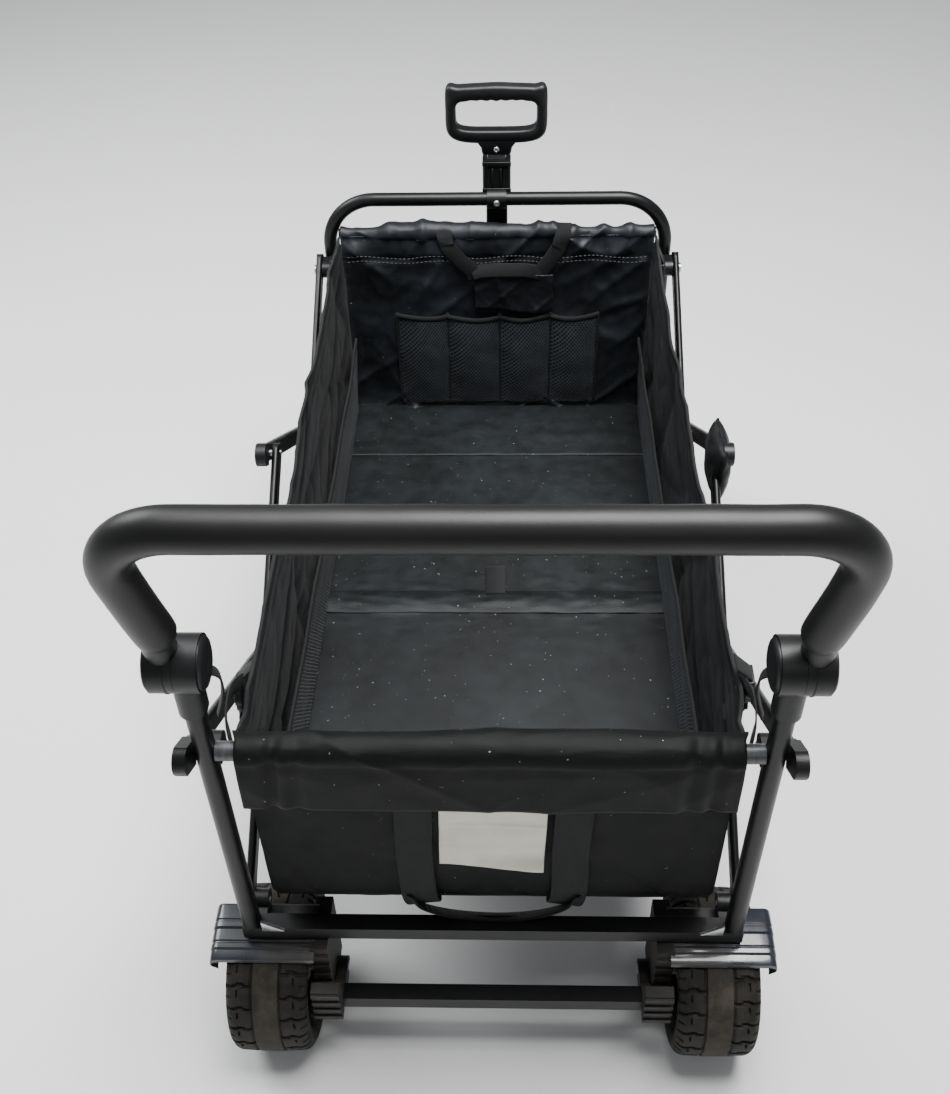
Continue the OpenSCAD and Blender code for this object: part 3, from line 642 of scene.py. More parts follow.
def tyre_profile():
    half = [0.0, 0.005, 0.010, 0.0138, 0.0144, 0.0158, 0.0163, 0.019, 0.0235, 0.028, 0.0308,
            0.0316, 0.0322, 0.0338, 0.0343, 0.0349]
    row = [(x, tyre_radius - 0.9 * x * x) for x in half]
    flat = tyre_radius - shoulder
    row += [(tyre_half - shoulder + shoulder * math.sin(math.radians(a)),
             flat - 0.0013 + shoulder * math.cos(math.radians(a))) for a in range(12, 97, 7)]
    row += [(tyre_half - back, r) for back, r in
            ((0.0005, 0.079), (0.0022, 0.0735), (0.0045, 0.069), (0.0075, 0.0655), (0.0105, 0.0625))]
    left = [(-x, r) for x, r in reversed(row[1:])]
    return left + row


def tyre(name, centre, body):
    profile, around, points = tyre_profile(), lugs * steps_per_lug, []
    for i in range(around):
        a = 2 * math.pi * i / around
        for x, r in profile:
            r -= groove(x, i) + 0.0004 * smooth_noise(x * 60, 9 * math.cos(a), 9 * math.sin(a))
            points.append(Vector(centre) + Vector((x, r * math.cos(a), r * math.sin(a))))
    faces = skin(around, len(profile), True, True)
    return crisp(piece(name, points, faces, rubber, body, "tyre_rubber"))


# %% [markdown]
# The grooves need crisp walls while the shoulders stay round, so edges sharper than an angle
# are marked sharp instead of flattening every face.

# %% Crisp edges where the surface turns sharply
def crisp(obj, angle=38.0):
    bm = bmesh.new()
    bm.from_mesh(obj.data)
    bmesh.ops.recalc_face_normals(bm, faces=bm.faces)
    for edge in bm.edges:
        edge.smooth = not edge.is_manifold or edge.calc_face_angle(0.0) < math.radians(angle)
    bm.to_mesh(obj.data)
    bm.free()
    return obj


def middle(node):
    low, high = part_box(node)
    return [(a + b) / 2 for a, b in zip(low, high)]


for side, _ in SIDES:
    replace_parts(tyre(f"tyre_rear_{side}", middle(f"rear_tyre_{side}"), f"rear_wheel_{side}"),
                f"rear_tyre_{side}")
print("rear tyres cut, lugs around:", lugs)

# %% [markdown]
# The front wheels are smaller mouldings inside the same tyre, so their rim is turned here: a
# barrel, a hub and six spokes, each a slab with its edges broken.

# %% Front wheels
def front_rim(name, centre, body, outward):
    barrel = turned([(-0.036, 0.064), (0.036, 0.064), (0.036, 0.060), (0.032, 0.057),
                     (-0.032, 0.057), (-0.036, 0.060)], centre)
    hub = turned([(-0.037, 0.0065), (-0.037, 0.015), (-0.034, 0.017), (0.034, 0.017),
                  (0.037, 0.015), (0.037, 0.0065)], centre, 32)
    parts = [barrel, hub]
    for k in range(6):
        a = math.pi * k / 3
        turn = Matrix.Rotation(a, 3, "X")
        blade = [(-0.008, 0.015), (0.008, 0.015), (0.006, 0.036), (0.009, 0.059), (-0.009, 0.059),
                 (-0.006, 0.036)]
        parts.append(slab(blade, 0.014, lambda y, z, x: Vector(centre)
                          + turn @ Vector((x + outward * 0.022, y, z))))
    return soften(crisp(moulding(name, joined(*parts), body)), 0.001)


for side, outward in SIDES:
    node, body = f"front_wheel_{side}", f"front_wheel_{side}_body"
    front_rim(f"rim_front_{side}", middle(node), body, outward)
    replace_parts(tyre(f"tyre_front_{side}", middle(node), body), node)
print("front wheels made")

# %% [markdown]
# ## Foam grip
# The grip is a foam hose pushed onto the U of the handle. Its skin is not a perfect tube: it
# narrows at its two ends, and it dimples where hands have squeezed it.

# %% Foam grip on the pushing handle
lean = math.radians(104.8)
knuckle = Vector((0.0, -0.510, 0.668))
arm = Vector((0.0, math.cos(lean), math.sin(lean)))
handle_x, handle_l, corner = 0.2985, 0.2180, 0.060
foam_radius, foam_start, splay = 0.0200, 0.0486, 0.0110


def on_handle(x, y):
    return knuckle + Vector((x, 0.0, 0.0)) + arm * y


def foam_path():
    arm_l = handle_l - corner
    straight = [on_handle(-handle_x + splay * (1 - k / 16) ** 1.3,
                          foam_start + (arm_l - foam_start) * k / 16) for k in range(16)]
    bend = [on_handle(-handle_x + corner - corner * math.cos(a), arm_l + corner * math.sin(a))
            for a in (math.pi / 2 * k / 18 for k in range(18))]
    half = straight + bend
    reach = handle_x - corner
    across = [on_handle(-reach + 2 * reach * k / 60, handle_l) for k in range(61)]
    return half + across + [Vector((-p.x, p.y, p.z)) for p in reversed(half)]


def foam_hose():
    path = foam_path()
    out = arm.cross(Vector((1.0, 0.0, 0.0))).normalized()
    around, rings = 28, []
    last = len(path) - 1
    for i, here in enumerate(path):
        along = (path[min(i + 1, last)] - path[max(i - 1, 0)]).normalized()
        side = along.cross(out).normalized()
        end = min(i, last - i)
        round_end = 1.0 - 0.16 * math.exp(-end / 0.5)
        for k in range(around):
            a = 2 * math.pi * k / around
            ray = side * math.cos(a) + out * math.sin(a)
            at = here + ray * foam_radius
            dent = 0.0005 * smooth_noise(at.x * 22, at.y * 22, at.z * 22)
            rings.append(here + ray * (foam_radius * round_end - 0.0005 + dent))
    ends = [tuple(range(around - 1, -1, -1)), tuple(last * around + k for k in range(around))]
    return rings, skin(len(path), around, close_section=True) + ends


grip = crisp(piece("foam_hose", *foam_hose(), foam, "push_handle", "grip_foam"), 55)
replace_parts(grip, "foam_grip")
print("foam hose, points:", len(grip.data.vertices))

# %% [markdown]
# ## Pulling grip
# The pulling handle ends in a moulded loop. It is a closed ring with a rounded section that is
# thick at the top, has ripples for the fingers under the top bar, and grows into a neck below.

# %% Loop handle
grip_middle = Vector((0.0, middle("pull_grip")[1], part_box("pull_grip")[1][2] - 0.0395))


def rounded_reach(a, half_w, half_h, power):
    c, s = abs(math.cos(a)) / half_w, abs(math.sin(a)) / half_h
    return (c ** power + s ** power) ** (-1.0 / power)


def loop_handle():
    around, m = 160, 16
    rings = []
    for i in range(around):
        a = 2 * math.pi * i / around
        c, s = math.cos(a), math.sin(a)
        outer = rounded_reach(a, 0.0785 if s > 0 else 0.0775, 0.0440, 7.0 if s > 0 else 4.2)
        inner = rounded_reach(a, 0.0610, 0.0225, 5.5)
        if s > 0:
            outer *= 0.985
        shift = 0.0
        if s > 0.25 and abs(inner * c) < 0.052:
            shift = -0.0016 * (0.5 + 0.5 * math.cos(inner * c * 2 * math.pi / 0.0150))
        for k in range(m):
            t = 2 * math.pi * k / m
            q = abs(math.cos(t)) ** 0.55 * (1 if math.cos(t) > 0 else -1)
            d = abs(math.sin(t)) ** 0.55 * (1 if math.sin(t) > 0 else -1)
            r = (outer + inner + shift) / 2 + q * (outer - inner - shift) / 2
            horn = 0.0065 * ease((abs(r * c) - 0.056) / 0.018) * ease((r * s - 0.016) / 0.016)
            crown = 0.0018 * math.exp(-(r * c / 0.03) ** 2) * ease((r * s - 0.03) / 0.01)
            rings.append(grip_middle + Vector((r * c, 0.0125 * d, r * s + horn + crown)))
    return rings, skin(around, m, True, True)


def grip_neck():
    outline = [(-0.022, -0.0615), (0.022, -0.0615), (0.024, -0.050), (0.034, -0.036),
               (-0.034, -0.036), (-0.024, -0.050)]
    return slab(outline, 0.0245, lambda x, z, y: grip_middle + Vector((x, y, z)))


loop = moulding("pull_loop", loop_handle(), "pull_slide")
soften(moulding("pull_loop_neck", grip_neck(), "pull_slide"), 0.004, 3)
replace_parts(loop, "pull_grip")

# %% [markdown]
# ## The cloth box
# The basket is sewn from panels: a rear wall that rolls over the top bar, two side walls, a
# front wall over its own bar and a floor with stiff boards. Real cloth never lies flat, so one
# crease function is shared by all panels. It adds broad sags, narrower pulls that run down from
# the hems, and fine crumples, each from its own size of noise.

# %% Creases shared by every panel
def ridged(x, y, seed, sharp):
    """Sharp crests with broad troughs, the shape that a fold in coated cloth takes."""
    return max(0.0, 1.0 - abs(smooth_noise(x, y, seed)) * sharp) ** 2


def creases(across, down, seed, size=1.0):
    bend = smooth_noise(across * 4.0, down * 4.0, seed + 31.0) * 0.10
    broad = smooth_noise(across * 3.2, down * 3.5, seed) * 0.0065
    pulls = ridged(across * 5.5 + down * 3.0 + bend, down * 4.0 - bend, seed + 7.0, 3.4) * 0.0050
    crossing = ridged(across * 6.0 - down * 7.5, down * 3.0 + bend * 3, seed + 3.0, 4.0) * 0.0034
    crumple = ridged(across * 17.0, down * 19.0 + bend * 9, seed + 13.0, 2.6) * 0.0012
    fine = smooth_noise(across * 52.0, down * 46.0, seed + 21.0) * 0.0005
    return (broad + pulls + crossing + crumple + fine - 0.0022) * size


def cloth(name, nu, nv, formula, material, body, slot, thickness=0.0016):
    obj = piece(name, *grid(nu, nv, formula), material, body, slot)
    area = sheet_area(obj)
    thicken(obj, thickness)
    return obj, area


def along_route(points, v):
    """The point at share v of a route in the YZ plane, and the direction out of the cloth."""
    j = v * (len(points) - 1)
    low = min(int(j), len(points) - 2)
    ahead = (points[low + 1] - points[low]).normalized()
    return points[low].lerp(points[low + 1], j - low), Vector((0.0, -ahead.z, ahead.y))


rear_in, front_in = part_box("rear_wall")[1][1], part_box("front_wall")[0][1]
floor_low, floor_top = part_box("floor_board_rear")[0][2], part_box("floor_board_rear")[1][2]
inner_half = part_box("side_wall_right")[0][0]
bar_y, bar_z = -0.510, 0.540
print("inside of the basket runs from", round(rear_in, 3), "to", round(front_in, 3))

# %% [markdown]
# The rear wall is followed in one go: up the outer skirt, over the padded bar, and down the
# inside to the floor. Its share v runs along that route, so a single grid makes all of it.

# %% Rear wall with its padded roll
def rear_route():
    route = [(-0.5335, 0.4740), (-0.5325, 0.5000), (-0.5315, 0.5250)]
    for a in range(190, -21, -14):
        t = math.radians(a)
        route.append((bar_y + 0.0205 * math.cos(t), bar_z + 0.0020 + 0.0195 * math.sin(t)))
    route += [(-0.4898, 0.5200), (-0.4893, 0.4600), (-0.4895, 0.4000), (-0.4895, 0.3300),
              (-0.4880, 0.2700), (-0.4850, 0.2480), (-0.4780, 0.2375)]
    return smooth_path([(0.0, y, z) for y, z in route], 120)


rear_points = rear_route()


def rear_sheet(u, v):
    at, out = along_route(rear_points, v)
    roll = 1.0 - ease((v - 0.30) / 0.12)
    half = 0.2465 + 0.006 * (1.0 - roll) - 0.012 * ease((0.262 - at.z) / 0.03) * (1.0 - roll)
    x = (2 * u - 1) * half
    edge = ease((1.0 - abs(2 * u - 1)) / 0.05)
    lift = creases(x * 0.9, v * 0.45, 3.0, 0.62 - 0.30 * roll)
    for fold, width, depth in ((-0.212, 0.007, 0.0055), (-0.188, 0.009, 0.0035),
                               (0.201, 0.008, 0.0045), (0.224, 0.006, 0.004), (0.02, 0.03, 0.0015)):
        lift -= depth * roll * math.exp(-((x - fold - 0.02 * (v - 0.2)) / width) ** 2)
    lift = lift * (0.35 + 0.65 * edge)
    skirt = 1.0 - ease(v / 0.10)
    wave = 0.0016 * math.sin(x * 15 + 1.0) * skirt + 0.0016 * smooth_noise(x * 9, 2.0) * skirt
    at = at + out * max(-0.006, min(0.0045, lift + wave * 0.4))
    return Vector((x, at.y, at.z + wave + 0.004 * (x / 0.25) ** 2 * skirt))


rear_panel, rear_area = cloth("rear_panel", 190, 150, rear_sheet, rear_cloth_painted_shade, "rear_upper",
                              "basket_fabric")
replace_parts(rear_panel, "rear_wall")
print("rear panel area", round(rear_area, 4))

# %% [markdown]
# Each side wall hangs from its two corners, so its hem dips and ripples between them. A strip
# of mesh with a bound top edge stands just inside it, and the wall's lower edge meets the boards.

# %% Side walls
wall_foot = 0.2365


def hem_height(y):
    along = (y - rear_in) / (front_in - rear_in)
    sag = -0.010 * math.sin(math.pi * along)
    corner = -0.012 * math.exp(-((y + 0.455) / 0.020) ** 2)
    return (0.545 + 0.027 * along + sag + corner + 0.0030 * math.sin(y * 21.0 + 0.6)
            + 0.006 * smooth_noise(y * 8.0, 1.7))


def side_sheet(sign):
    seed = 11.0 if sign > 0 else 17.0

    def formula(u, v):
        y = rear_in + 0.0015 + (front_in - rear_in - 0.003) * u
        z = wall_foot + (hem_height(y) - wall_foot) * v
        ends = ease(u / 0.05) * ease((1 - u) / 0.05)
        belly = 0.0050 * math.sin(math.pi * v) * ends
        ripple = creases(y * 0.62, z * 1.1, seed, 1.0) * ends * (0.35 + 0.65 * ease(v / 0.25))
        hem = 0.0016 * ease((v - 0.955) / 0.012) + 0.0010 * math.exp(-((v - 0.9) / 0.006) ** 2)
        x = inner_half + 0.0012 + max(-0.0060, min(0.0095, belly * 0.6 + ripple - 0.002)) + hem
        return Vector((sign * x, y, z))
    return formula


def squash_with_fold(obj):
    """Give a piece its own copy of its mesh."""
    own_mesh(obj)


for side, sign in SIDES:
    wall, area = cloth(f"side_panel_{side}", 240, 90, side_sheet(sign), wall_cloth, "rear_upper",
                       "basket_fabric", 0.0018 * sign)
    crisp(wall, 70)
    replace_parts(wall, f"side_wall_{side}")
    squash_with_fold(wall)
    print(wall.name, "area", round(area, 4))


# %% [markdown]
# Seams are thin cords of thread and tape laid on the cloth. They follow the same formula as the
# panel, moved a little off its face, so they never float or sink.

# %% Piping, stitch lines and mesh strips of the side walls
def stitches(name, route, face, body, length=0.0042, gap=0.0024, radius=0.00055, squash=True):
    """Separate stitches along a route of points, joined into one piece."""
    parts, gone, run = [], 0.0, []
    for a, b in zip(route, route[1:]):
        gone += (b - a).length
        run.append(b)
        if gone >= length and len(run) > 1:
            parts.append(sweep([run[0], run[len(run) // 2], run[-1]] if len(run) > 2 else run,
                               round_section(radius, 5), face))
            run = []
            gone = -gap
        elif gone < 0:
            run = []
    obj = piece(name, *joined(*parts), thread, body, "basket_fabric")
    if squash:
        squash_with_fold(obj)
    return obj


for side, sign in SIDES:
    formula = side_sheet(sign)
    inward = Vector((-sign, 0, 0))
    for k, (v, r) in enumerate(((0.996, 0.0022), (0.953, 0.0011))):
        path = [formula(u / 200, v) + inward * 0.0008 for u in range(201)]
        squash_with_fold(tape(f"hem_piping_{side}_{k}", path, round_section(r, 8), inward,
                              "rear_upper"))
    for k, v in enumerate((0.978, 0.940, 0.925)):
        route = [formula(u / 900, v) + inward * 0.0006 for u in range(901)]
        stitches(f"hem_stitches_{side}_{k}", route, inward, "rear_upper")

    def strip(u, v):
        y = -0.470 + 0.930 * u
        z = 0.2480 + (0.1470 - 0.004 * math.sin(math.pi * u)) * v + 0.0025 * math.sin(y * 31) * v
        ripple = 0.0022 * smooth_noise(y * 8, v * 3, 5.0 + sign) * (0.3 + v)
        lean_in = 0.0015 + 0.0085 * v + ripple
        return Vector((sign * (inner_half - 0.0060 - lean_in), y, z))

    net, area = cloth(f"mesh_strip_{side}", 170, 26, strip, pocket_mesh, "rear_upper", "pocket_mesh",
                      0.0007)
    squash_with_fold(net)
    section = [(-0.0016, 0.0008), (-0.0016, -0.0095), (-0.0007, -0.0103), (0.0007, -0.0103),
               (0.0016, -0.0095), (0.0016, 0.0008), (0.0, 0.0018)]
    squash_with_fold(tape(f"strip_binding_{side}", [strip(u / 150, 1.0) for u in range(151)],
                          section, (0, 0, 1), "rear_upper"))
print("side seams and mesh strips sewn")

# %% [markdown]
# The front wall hangs over the rim bar with a stitched tunnel. Below it are a mesh pocket with
# four cells and a small flap that covers the carry handle's ends.

# %% Front wall
front_bar = Vector((0.0, 0.503, 0.566))


def front_route():
    route = [(0.4780, 0.2375), (0.4850, 0.2470), (0.4872, 0.2700), (0.4875, 0.3300),
             (0.4877, 0.4200), (0.4880, 0.5000), (0.4885, 0.5450)]
    for a in range(200, -31, -15):
        t = math.radians(a)
        route.append((front_bar.y + 0.0125 * math.cos(t), front_bar.z + 0.0125 * math.sin(t)))
    route += [(0.5140, 0.5400), (0.5135, 0.5220)]
    return smooth_path([(0.0, y, z) for y, z in route], 110)


front_points = front_route()


def front_sheet(u, v):
    at, out = along_route(front_points, v)
    x = (2 * u - 1) * (0.2490 - 0.010 * ease((0.262 - at.z) / 0.03))
    edge = ease((1.0 - abs(2 * u - 1)) / 0.06)
    lift = creases(x * 1.5, at.z * 1.3, 29.0, 1.35) * (0.4 + 0.6 * edge)
    tunnel = math.exp(-((at.z - 0.529) / 0.004) ** 2) if at.y < 0.495 else 0.0
    hump = ease((at.z - 0.531) / 0.01)
    for fold in (-0.17, -0.115, 0.125, 0.178, 0.212):
        lift += 0.0026 * hump * math.exp(-((x - fold + 0.15 * (at.z - 0.55)) / 0.008) ** 2)
    lift -= 0.0028 * tunnel
    return Vector((x, *(at + out * max(-0.0050, min(0.0105, lift))).yz))


front_panel, area = cloth("front_panel", 180, 130, front_sheet, front_cloth_painted_light, "front_upper",
                          "basket_fabric")
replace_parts(front_panel, "front_wall")


def on_front(x, z, lift):
    """A point on the inner face of the front wall at height z, lifted towards the basket."""
    spots = [p for p in front_points if p.y < 0.4935 or p.z > 0.575]
    near = min(spots, key=lambda p: abs(p.z - z) + (0.0 if p.y < 0.494 else 9.0))
    return Vector((x, near.y - lift, z))


for k, z in enumerate((0.5335, 0.5255)):
    heights = [z + 0.0022 * math.sin(i * 0.036) + 0.0012 * smooth_noise(i * 0.02, k)
               for i in range(701)]
    route = [on_front(-0.24 + 0.48 * i / 700, height, 0.0052) for i, height in enumerate(heights)]
    stitches(f"tunnel_stitches_{k}", route, Vector((0, -1, 0)), "front_upper", squash=False)
print("front panel area", round(area, 4))

# %% [markdown]
# The pocket is one loose net. Its bound edge sags between the seams that divide it, and each
# cell bellies out a little, which is what tells the eye that it is open at the top.

# %% Mesh pocket
pocket_x, pocket_low, pocket_high = 0.166, 0.2570, 0.4330
cells = (-0.166, -0.082, 0.004, 0.088, 0.166)


def cell_share(x):
    for a, b in zip(cells, cells[1:]):
        if x <= b:
            return (x - a) / (b - a)
    return 1.0


def pocket_sheet(u, v):
    x = -pocket_x + 2 * pocket_x * u
    share = cell_share(x)
    belly = math.sin(math.pi * min(max(share, 0), 1)) ** 0.7
    sag = (0.0035 * belly * v ** 2 + 0.006 * math.sin(math.pi * u) * v
           + 0.004 * smooth_noise(x * 20, 4.0) * v)
    z = pocket_low + (pocket_high - pocket_low) * v - sag
    out = 0.0045 + 0.0100 * belly * math.sin(math.pi * (0.15 + 0.75 * v)) + 0.0030 * v * belly
    out += 0.0012 * smooth_noise(x * 30, z * 30, 2.0)
    return Vector((x, 0.4868 - out, z))


net, area = cloth("pocket_net", 150, 60, pocket_sheet, pocket_mesh, "front_upper", "pocket_mesh",
                  0.0007)
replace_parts(net, "mesh_pocket")
edge_section = [(-0.0015, 0.0010), (-0.0015, -0.0070), (0.0, -0.0078), (0.0015, -0.0070),
                (0.0015, 0.0010)]
tape("pocket_binding", [pocket_sheet(u / 120, 1.0) for u in range(121)], edge_section, (0, 0, 1),
     "front_upper")
seam_y, into_basket = 0.4815, (0, -1, 0)
for k, x in enumerate(cells):
    route = [Vector((x, seam_y, pocket_low + (pocket_high - pocket_low) * i / 30))
             for i in range(31)]
    tape(f"pocket_seam_{k}", route, strap_section(0.0052, 0.0016), into_basket, "front_upper")
route = [Vector((-pocket_x + 2 * pocket_x * i / 60, seam_y,
                 pocket_low - 0.001 + 0.0012 * smooth_noise(i * 0.3, 8.0))) for i in range(61)]
tape("pocket_hem", route, strap_section(0.0090, 0.0020), into_basket, "front_upper")
print("pocket cells:", len(cells) - 1)

# %% [markdown]
# Two webbing straps come over the rim bar and run down and in to a carry handle, a flat loop
# of webbing. A flap of cloth hangs below the handle.

# %% Straps, carry handle and flap on the front wall
for side, sign, top_x, low_x in (("left", -1, -0.083, -0.034), ("right", 1, 0.104, 0.066)):
    points = [(top_x + sign * 0.006, 0.5180, 0.545), (top_x + sign * 0.004, 0.5175, 0.566),
              (top_x + sign * 0.002, 0.5030, 0.5815), (top_x, 0.4865, 0.572),
              (top_x - sign * 0.006, 0.4815, 0.552), (0.5 * (top_x + low_x), 0.4795, 0.530),
              (low_x + sign * 0.006, 0.4785, 0.512), (low_x, 0.4790, 0.497)]
    path = smooth_path(points, 44)

    def outward_from_bar(i, path=path):
        away = Vector((0.0, path[i].y - front_bar.y, path[i].z - front_bar.z))
        return Vector((0, -1, 0)) if path[i].z < 0.553 and path[i].y < 0.5 else away
    tape(f"front_strap_{side}", path, strap_section(0.024, 0.0018), outward_from_bar, "front_upper")
handle_points = [(-0.040, 0.4785, 0.507), (-0.025, 0.4765, 0.5125), (0.000, 0.4745, 0.5150),
                 (0.025, 0.4740, 0.5155), (0.050, 0.4750, 0.5140), (0.072, 0.4785, 0.507)]
strap("carry_handle", handle_points, 0.022, (0.0, -1.0, 0.35), "front_upper", 0.0028)


def flap_sheet(u, v):
    x = -0.036 + 0.126 * u + 0.002 * smooth_noise(v * 4, 3.0)
    z = 0.5060 - 0.066 * v + 0.0045 * math.sin(u * 5.0 + 0.4) * v
    out = 0.0060 + 0.0030 * math.sin(math.pi * u) + creases(x * 2, z * 2, 41.0, 0.7)
    return Vector((x, 0.4870 - max(0.004, out), z))


flap, area = cloth("front_flap", 60, 36, flap_sheet, front_cloth_painted_light, "front_upper", "basket_fabric")
print("front straps and flap hung")

# %% [markdown]
# ## The floor
# Two stiff boards are sewn into the floor cloth and fold upwards along the middle. The cloth is
# loose over the hinge lines, where it wrinkles, and stays flat on the boards.

# %% Floor boards in their cloth
def board(name, y0, y1, seed):
    x_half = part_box("floor_board_rear")[1][0] - 0.0005

    def formula(u, v):
        x = (2 * v - 1) * x_half
        if u < 0.5:
            t = u / 0.5
            y = y0 + 0.0015 + (y1 - y0 - 0.003) * t
            rim = ease(min(t, 1 - t) / 0.012) * ease((1 - abs(2 * v - 1)) / 0.012)
            middle_gap = math.exp(-abs(y) / 0.030)
            wrinkle = max(0.0, smooth_noise(x * 26, y * 55, seed)) * 0.0050 * middle_gap
            far_gap = math.exp(-abs(abs(y) - 0.345) / 0.020)
            wrinkle += max(0.0, smooth_noise(x * 16, y * 40, seed + 3)) * 0.0028 * far_gap
            soft = (smooth_noise(x * 7, y * 6, seed + 5) * 0.0008
                    + smooth_noise(x * 26, y * 19, seed) * 0.0003)
            rise = (0.0008 + soft + wrinkle) * rim - 0.0010 * (1 - rim)
            return Vector((x, y, floor_top - 0.0012 + rise))
        t = (u - 0.5) / 0.5
        return Vector((x, y1 - 0.0015 - (y1 - y0 - 0.003) * t, floor_low + 0.0002))

    nu, nv = 220, 130
    points, faces = grid(nu, nv, formula, closed_u=True)
    faces += [tuple(range(nu - 1, -1, -1)), tuple((nv - 1) * nu + i for i in range(nu))]
    obj = piece(name, points, faces, floor_cloth, name, "basket_fabric")
    return crisp(obj, 60)


for name, node in (("rear_board", "floor_board_rear"), ("front_board", "floor_board_front")):
    low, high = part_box(node)
    obj = board(name, low[1], high[1], 51.0)
    obj.name = f"covered_{name}"
    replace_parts(obj, node)

# %% [markdown]
# The loose cloth over the middle hinge is its own narrow sheet. It is attached to no body, and
# its placement is baked into its points.

# %% Loose cloth over the hinges
def hinge_cloth(u, v):
    x = (2 * u - 1) * 0.2480
    y = -0.030 + 0.046 * v
    rise = math.sin(math.pi * v) ** 0.8
    crown = 0.0042 + 0.0030 * smooth_noise(x * 13, 3.0) + 0.0022 * smooth_noise(x * 34, v * 3, 6.0)
    side = 0.0030 * smooth_noise(x * 11, 9.0) * rise
    return Vector((x, y + side, floor_top + 0.0004 + max(0.0008, crown) * rise))


fold_cloth, area = cloth("hinge_cloth", 170, 22, hinge_cloth, floor_cloth, None, "basket_fabric",
                         0.0009)
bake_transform(fold_cloth)


def end_strip(name, y0, y1, seed, body):
    def formula(u, v):
        x, y = (2 * u - 1) * 0.2485, y0 + (y1 - y0) * v
        rise = math.sin(math.pi * v) ** 0.5
        lift = 0.0022 + 0.0030 * max(0.0, smooth_noise(x * 12, y * 24, seed)) * rise
        grain = 0.0006 * smooth_noise(x * 40, y * 40, seed)
        return Vector((x, y, floor_top - 0.0015 + lift + grain))
    return cloth(name, 150, 34, formula, floor_cloth, body, "basket_fabric", 0.0022)


front_strip, area = end_strip("front_floor_cloth", 0.3400, 0.4845, 61.0, "front_upper")
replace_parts(front_strip, "front_floor_strip")
squash_with_fold(front_strip)
rear_strip, area = end_strip("rear_floor_cloth", -0.4865, -0.3400, 71.0, "rear_upper")
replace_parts(rear_strip, "rear_floor_strip")
tab_points = [(0.0, 0.0665, floor_top + 0.0016), (0.0, 0.045, floor_top + 0.0026),
              (0.0, 0.022, floor_top + 0.0034), (0.0, 0.006, floor_top + 0.0042)]
tab = strap("pull_tab", tab_points, 0.029, (0, 0, 1), "front_board", 0.0022, 20)
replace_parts(tab, "floor_pull_tab")
print("floor laid at", round(floor_top, 4))

# %% [markdown]
# ## Care label, rear bands and the hanging loop
# The label is a rectangle of satin sewn along its top edge, slightly askew and curled where it
# was folded. The two broad bands beside it carry the wagon when it is folded; their slack hangs
# below the wall as a loop.

# %% Label and bands on the rear wall
def rear_face(x, z, lift):
    return Vector((x, -0.4925 - lift, z))


def label_sheet(u, v):
    tilt = math.radians(-1.6)
    x, z = -0.0575 + 0.115 * u, 0.4360 - 0.113 * v
    x, z = (x * math.cos(tilt) - (z - 0.38) * math.sin(tilt), 0.38 + x * math.sin(tilt)
            + (z - 0.38) * math.cos(tilt))
    curl = 0.0060 * ease((v - 0.80) / 0.2) * ease(u) + 0.0012 * math.sin(v * 11 + u * 3)
    pressed = 0.0010 * (math.exp(-((v - 0.34) / 0.015) ** 2) + math.exp(-((v - 0.68) / 0.015) ** 2))
    ripple = 0.0006 * smooth_noise(u * 5, v * 5, 2.0)
    return rear_face(x + 0.002, z, 0.0042 + curl + pressed + ripple)


label, area = cloth("satin_label", 60, 56, label_sheet, label_cloth, "rear_upper", "label_cloth",
                    0.0006)
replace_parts(label, "care_label")
for side, sign, x in (("left", -1, -0.083), ("right", 1, 0.088)):
    points = [(x, -0.4985, 0.485), (x + 0.001, -0.4975, 0.420), (x - 0.001, -0.4975, 0.350),
              (x, -0.4975, 0.285), (x - sign * 0.002, -0.4960, 0.252),
              (x - sign * 0.006, -0.4885, 0.234), (x - sign * 0.012, -0.4700, 0.2285)]
    strap(f"rear_band_{side}", points, 0.041, (0, -1, -0.15), "rear_upper", 0.0022, 46)
loop_points = [(-0.098, -0.4955, 0.262), (-0.085, -0.4975, 0.243), (-0.055, -0.4990, 0.229),
               (-0.015, -0.5000, 0.2225), (0.025, -0.5000, 0.2225), (0.062, -0.4990, 0.230),
               (0.090, -0.4975, 0.245), (0.103, -0.4955, 0.264)]
strap("rear_loop", loop_points, 0.020, (0, -0.55, -0.85), "rear_upper", 0.0028, 60)
print("label area", round(area, 5))

# %% [markdown]
# ## Buckles
# Four side-release buckles tie the basket's corners to the frame. A buckle is two mouldings, a
# socket with a waist and a tongue that plugs into it, threaded on a short length of webbing.

# %% Side-release buckles and their webbing
web_end_x = 0.2510


def block(half_w, half_h):
    return [(-half_w, -half_h), (half_w, -half_h), (half_w, half_h), (-half_w, half_h)]


def buckle_half(width, waist, length, flip):
    w, q = width / 2, waist / 2
    outline = [(-w, 0.0), (-w, 0.30), (-q, 0.52), (-q, 0.74), (-w * 0.92, 0.90), (-w * 0.86, 1.0),
               (w * 0.86, 1.0), (w * 0.92, 0.90), (q, 0.74), (q, 0.52), (w, 0.30), (w, 0.0)]
    return [(x, flip * length * t) for x, t in (outline if flip > 0 else outline[::-1])]


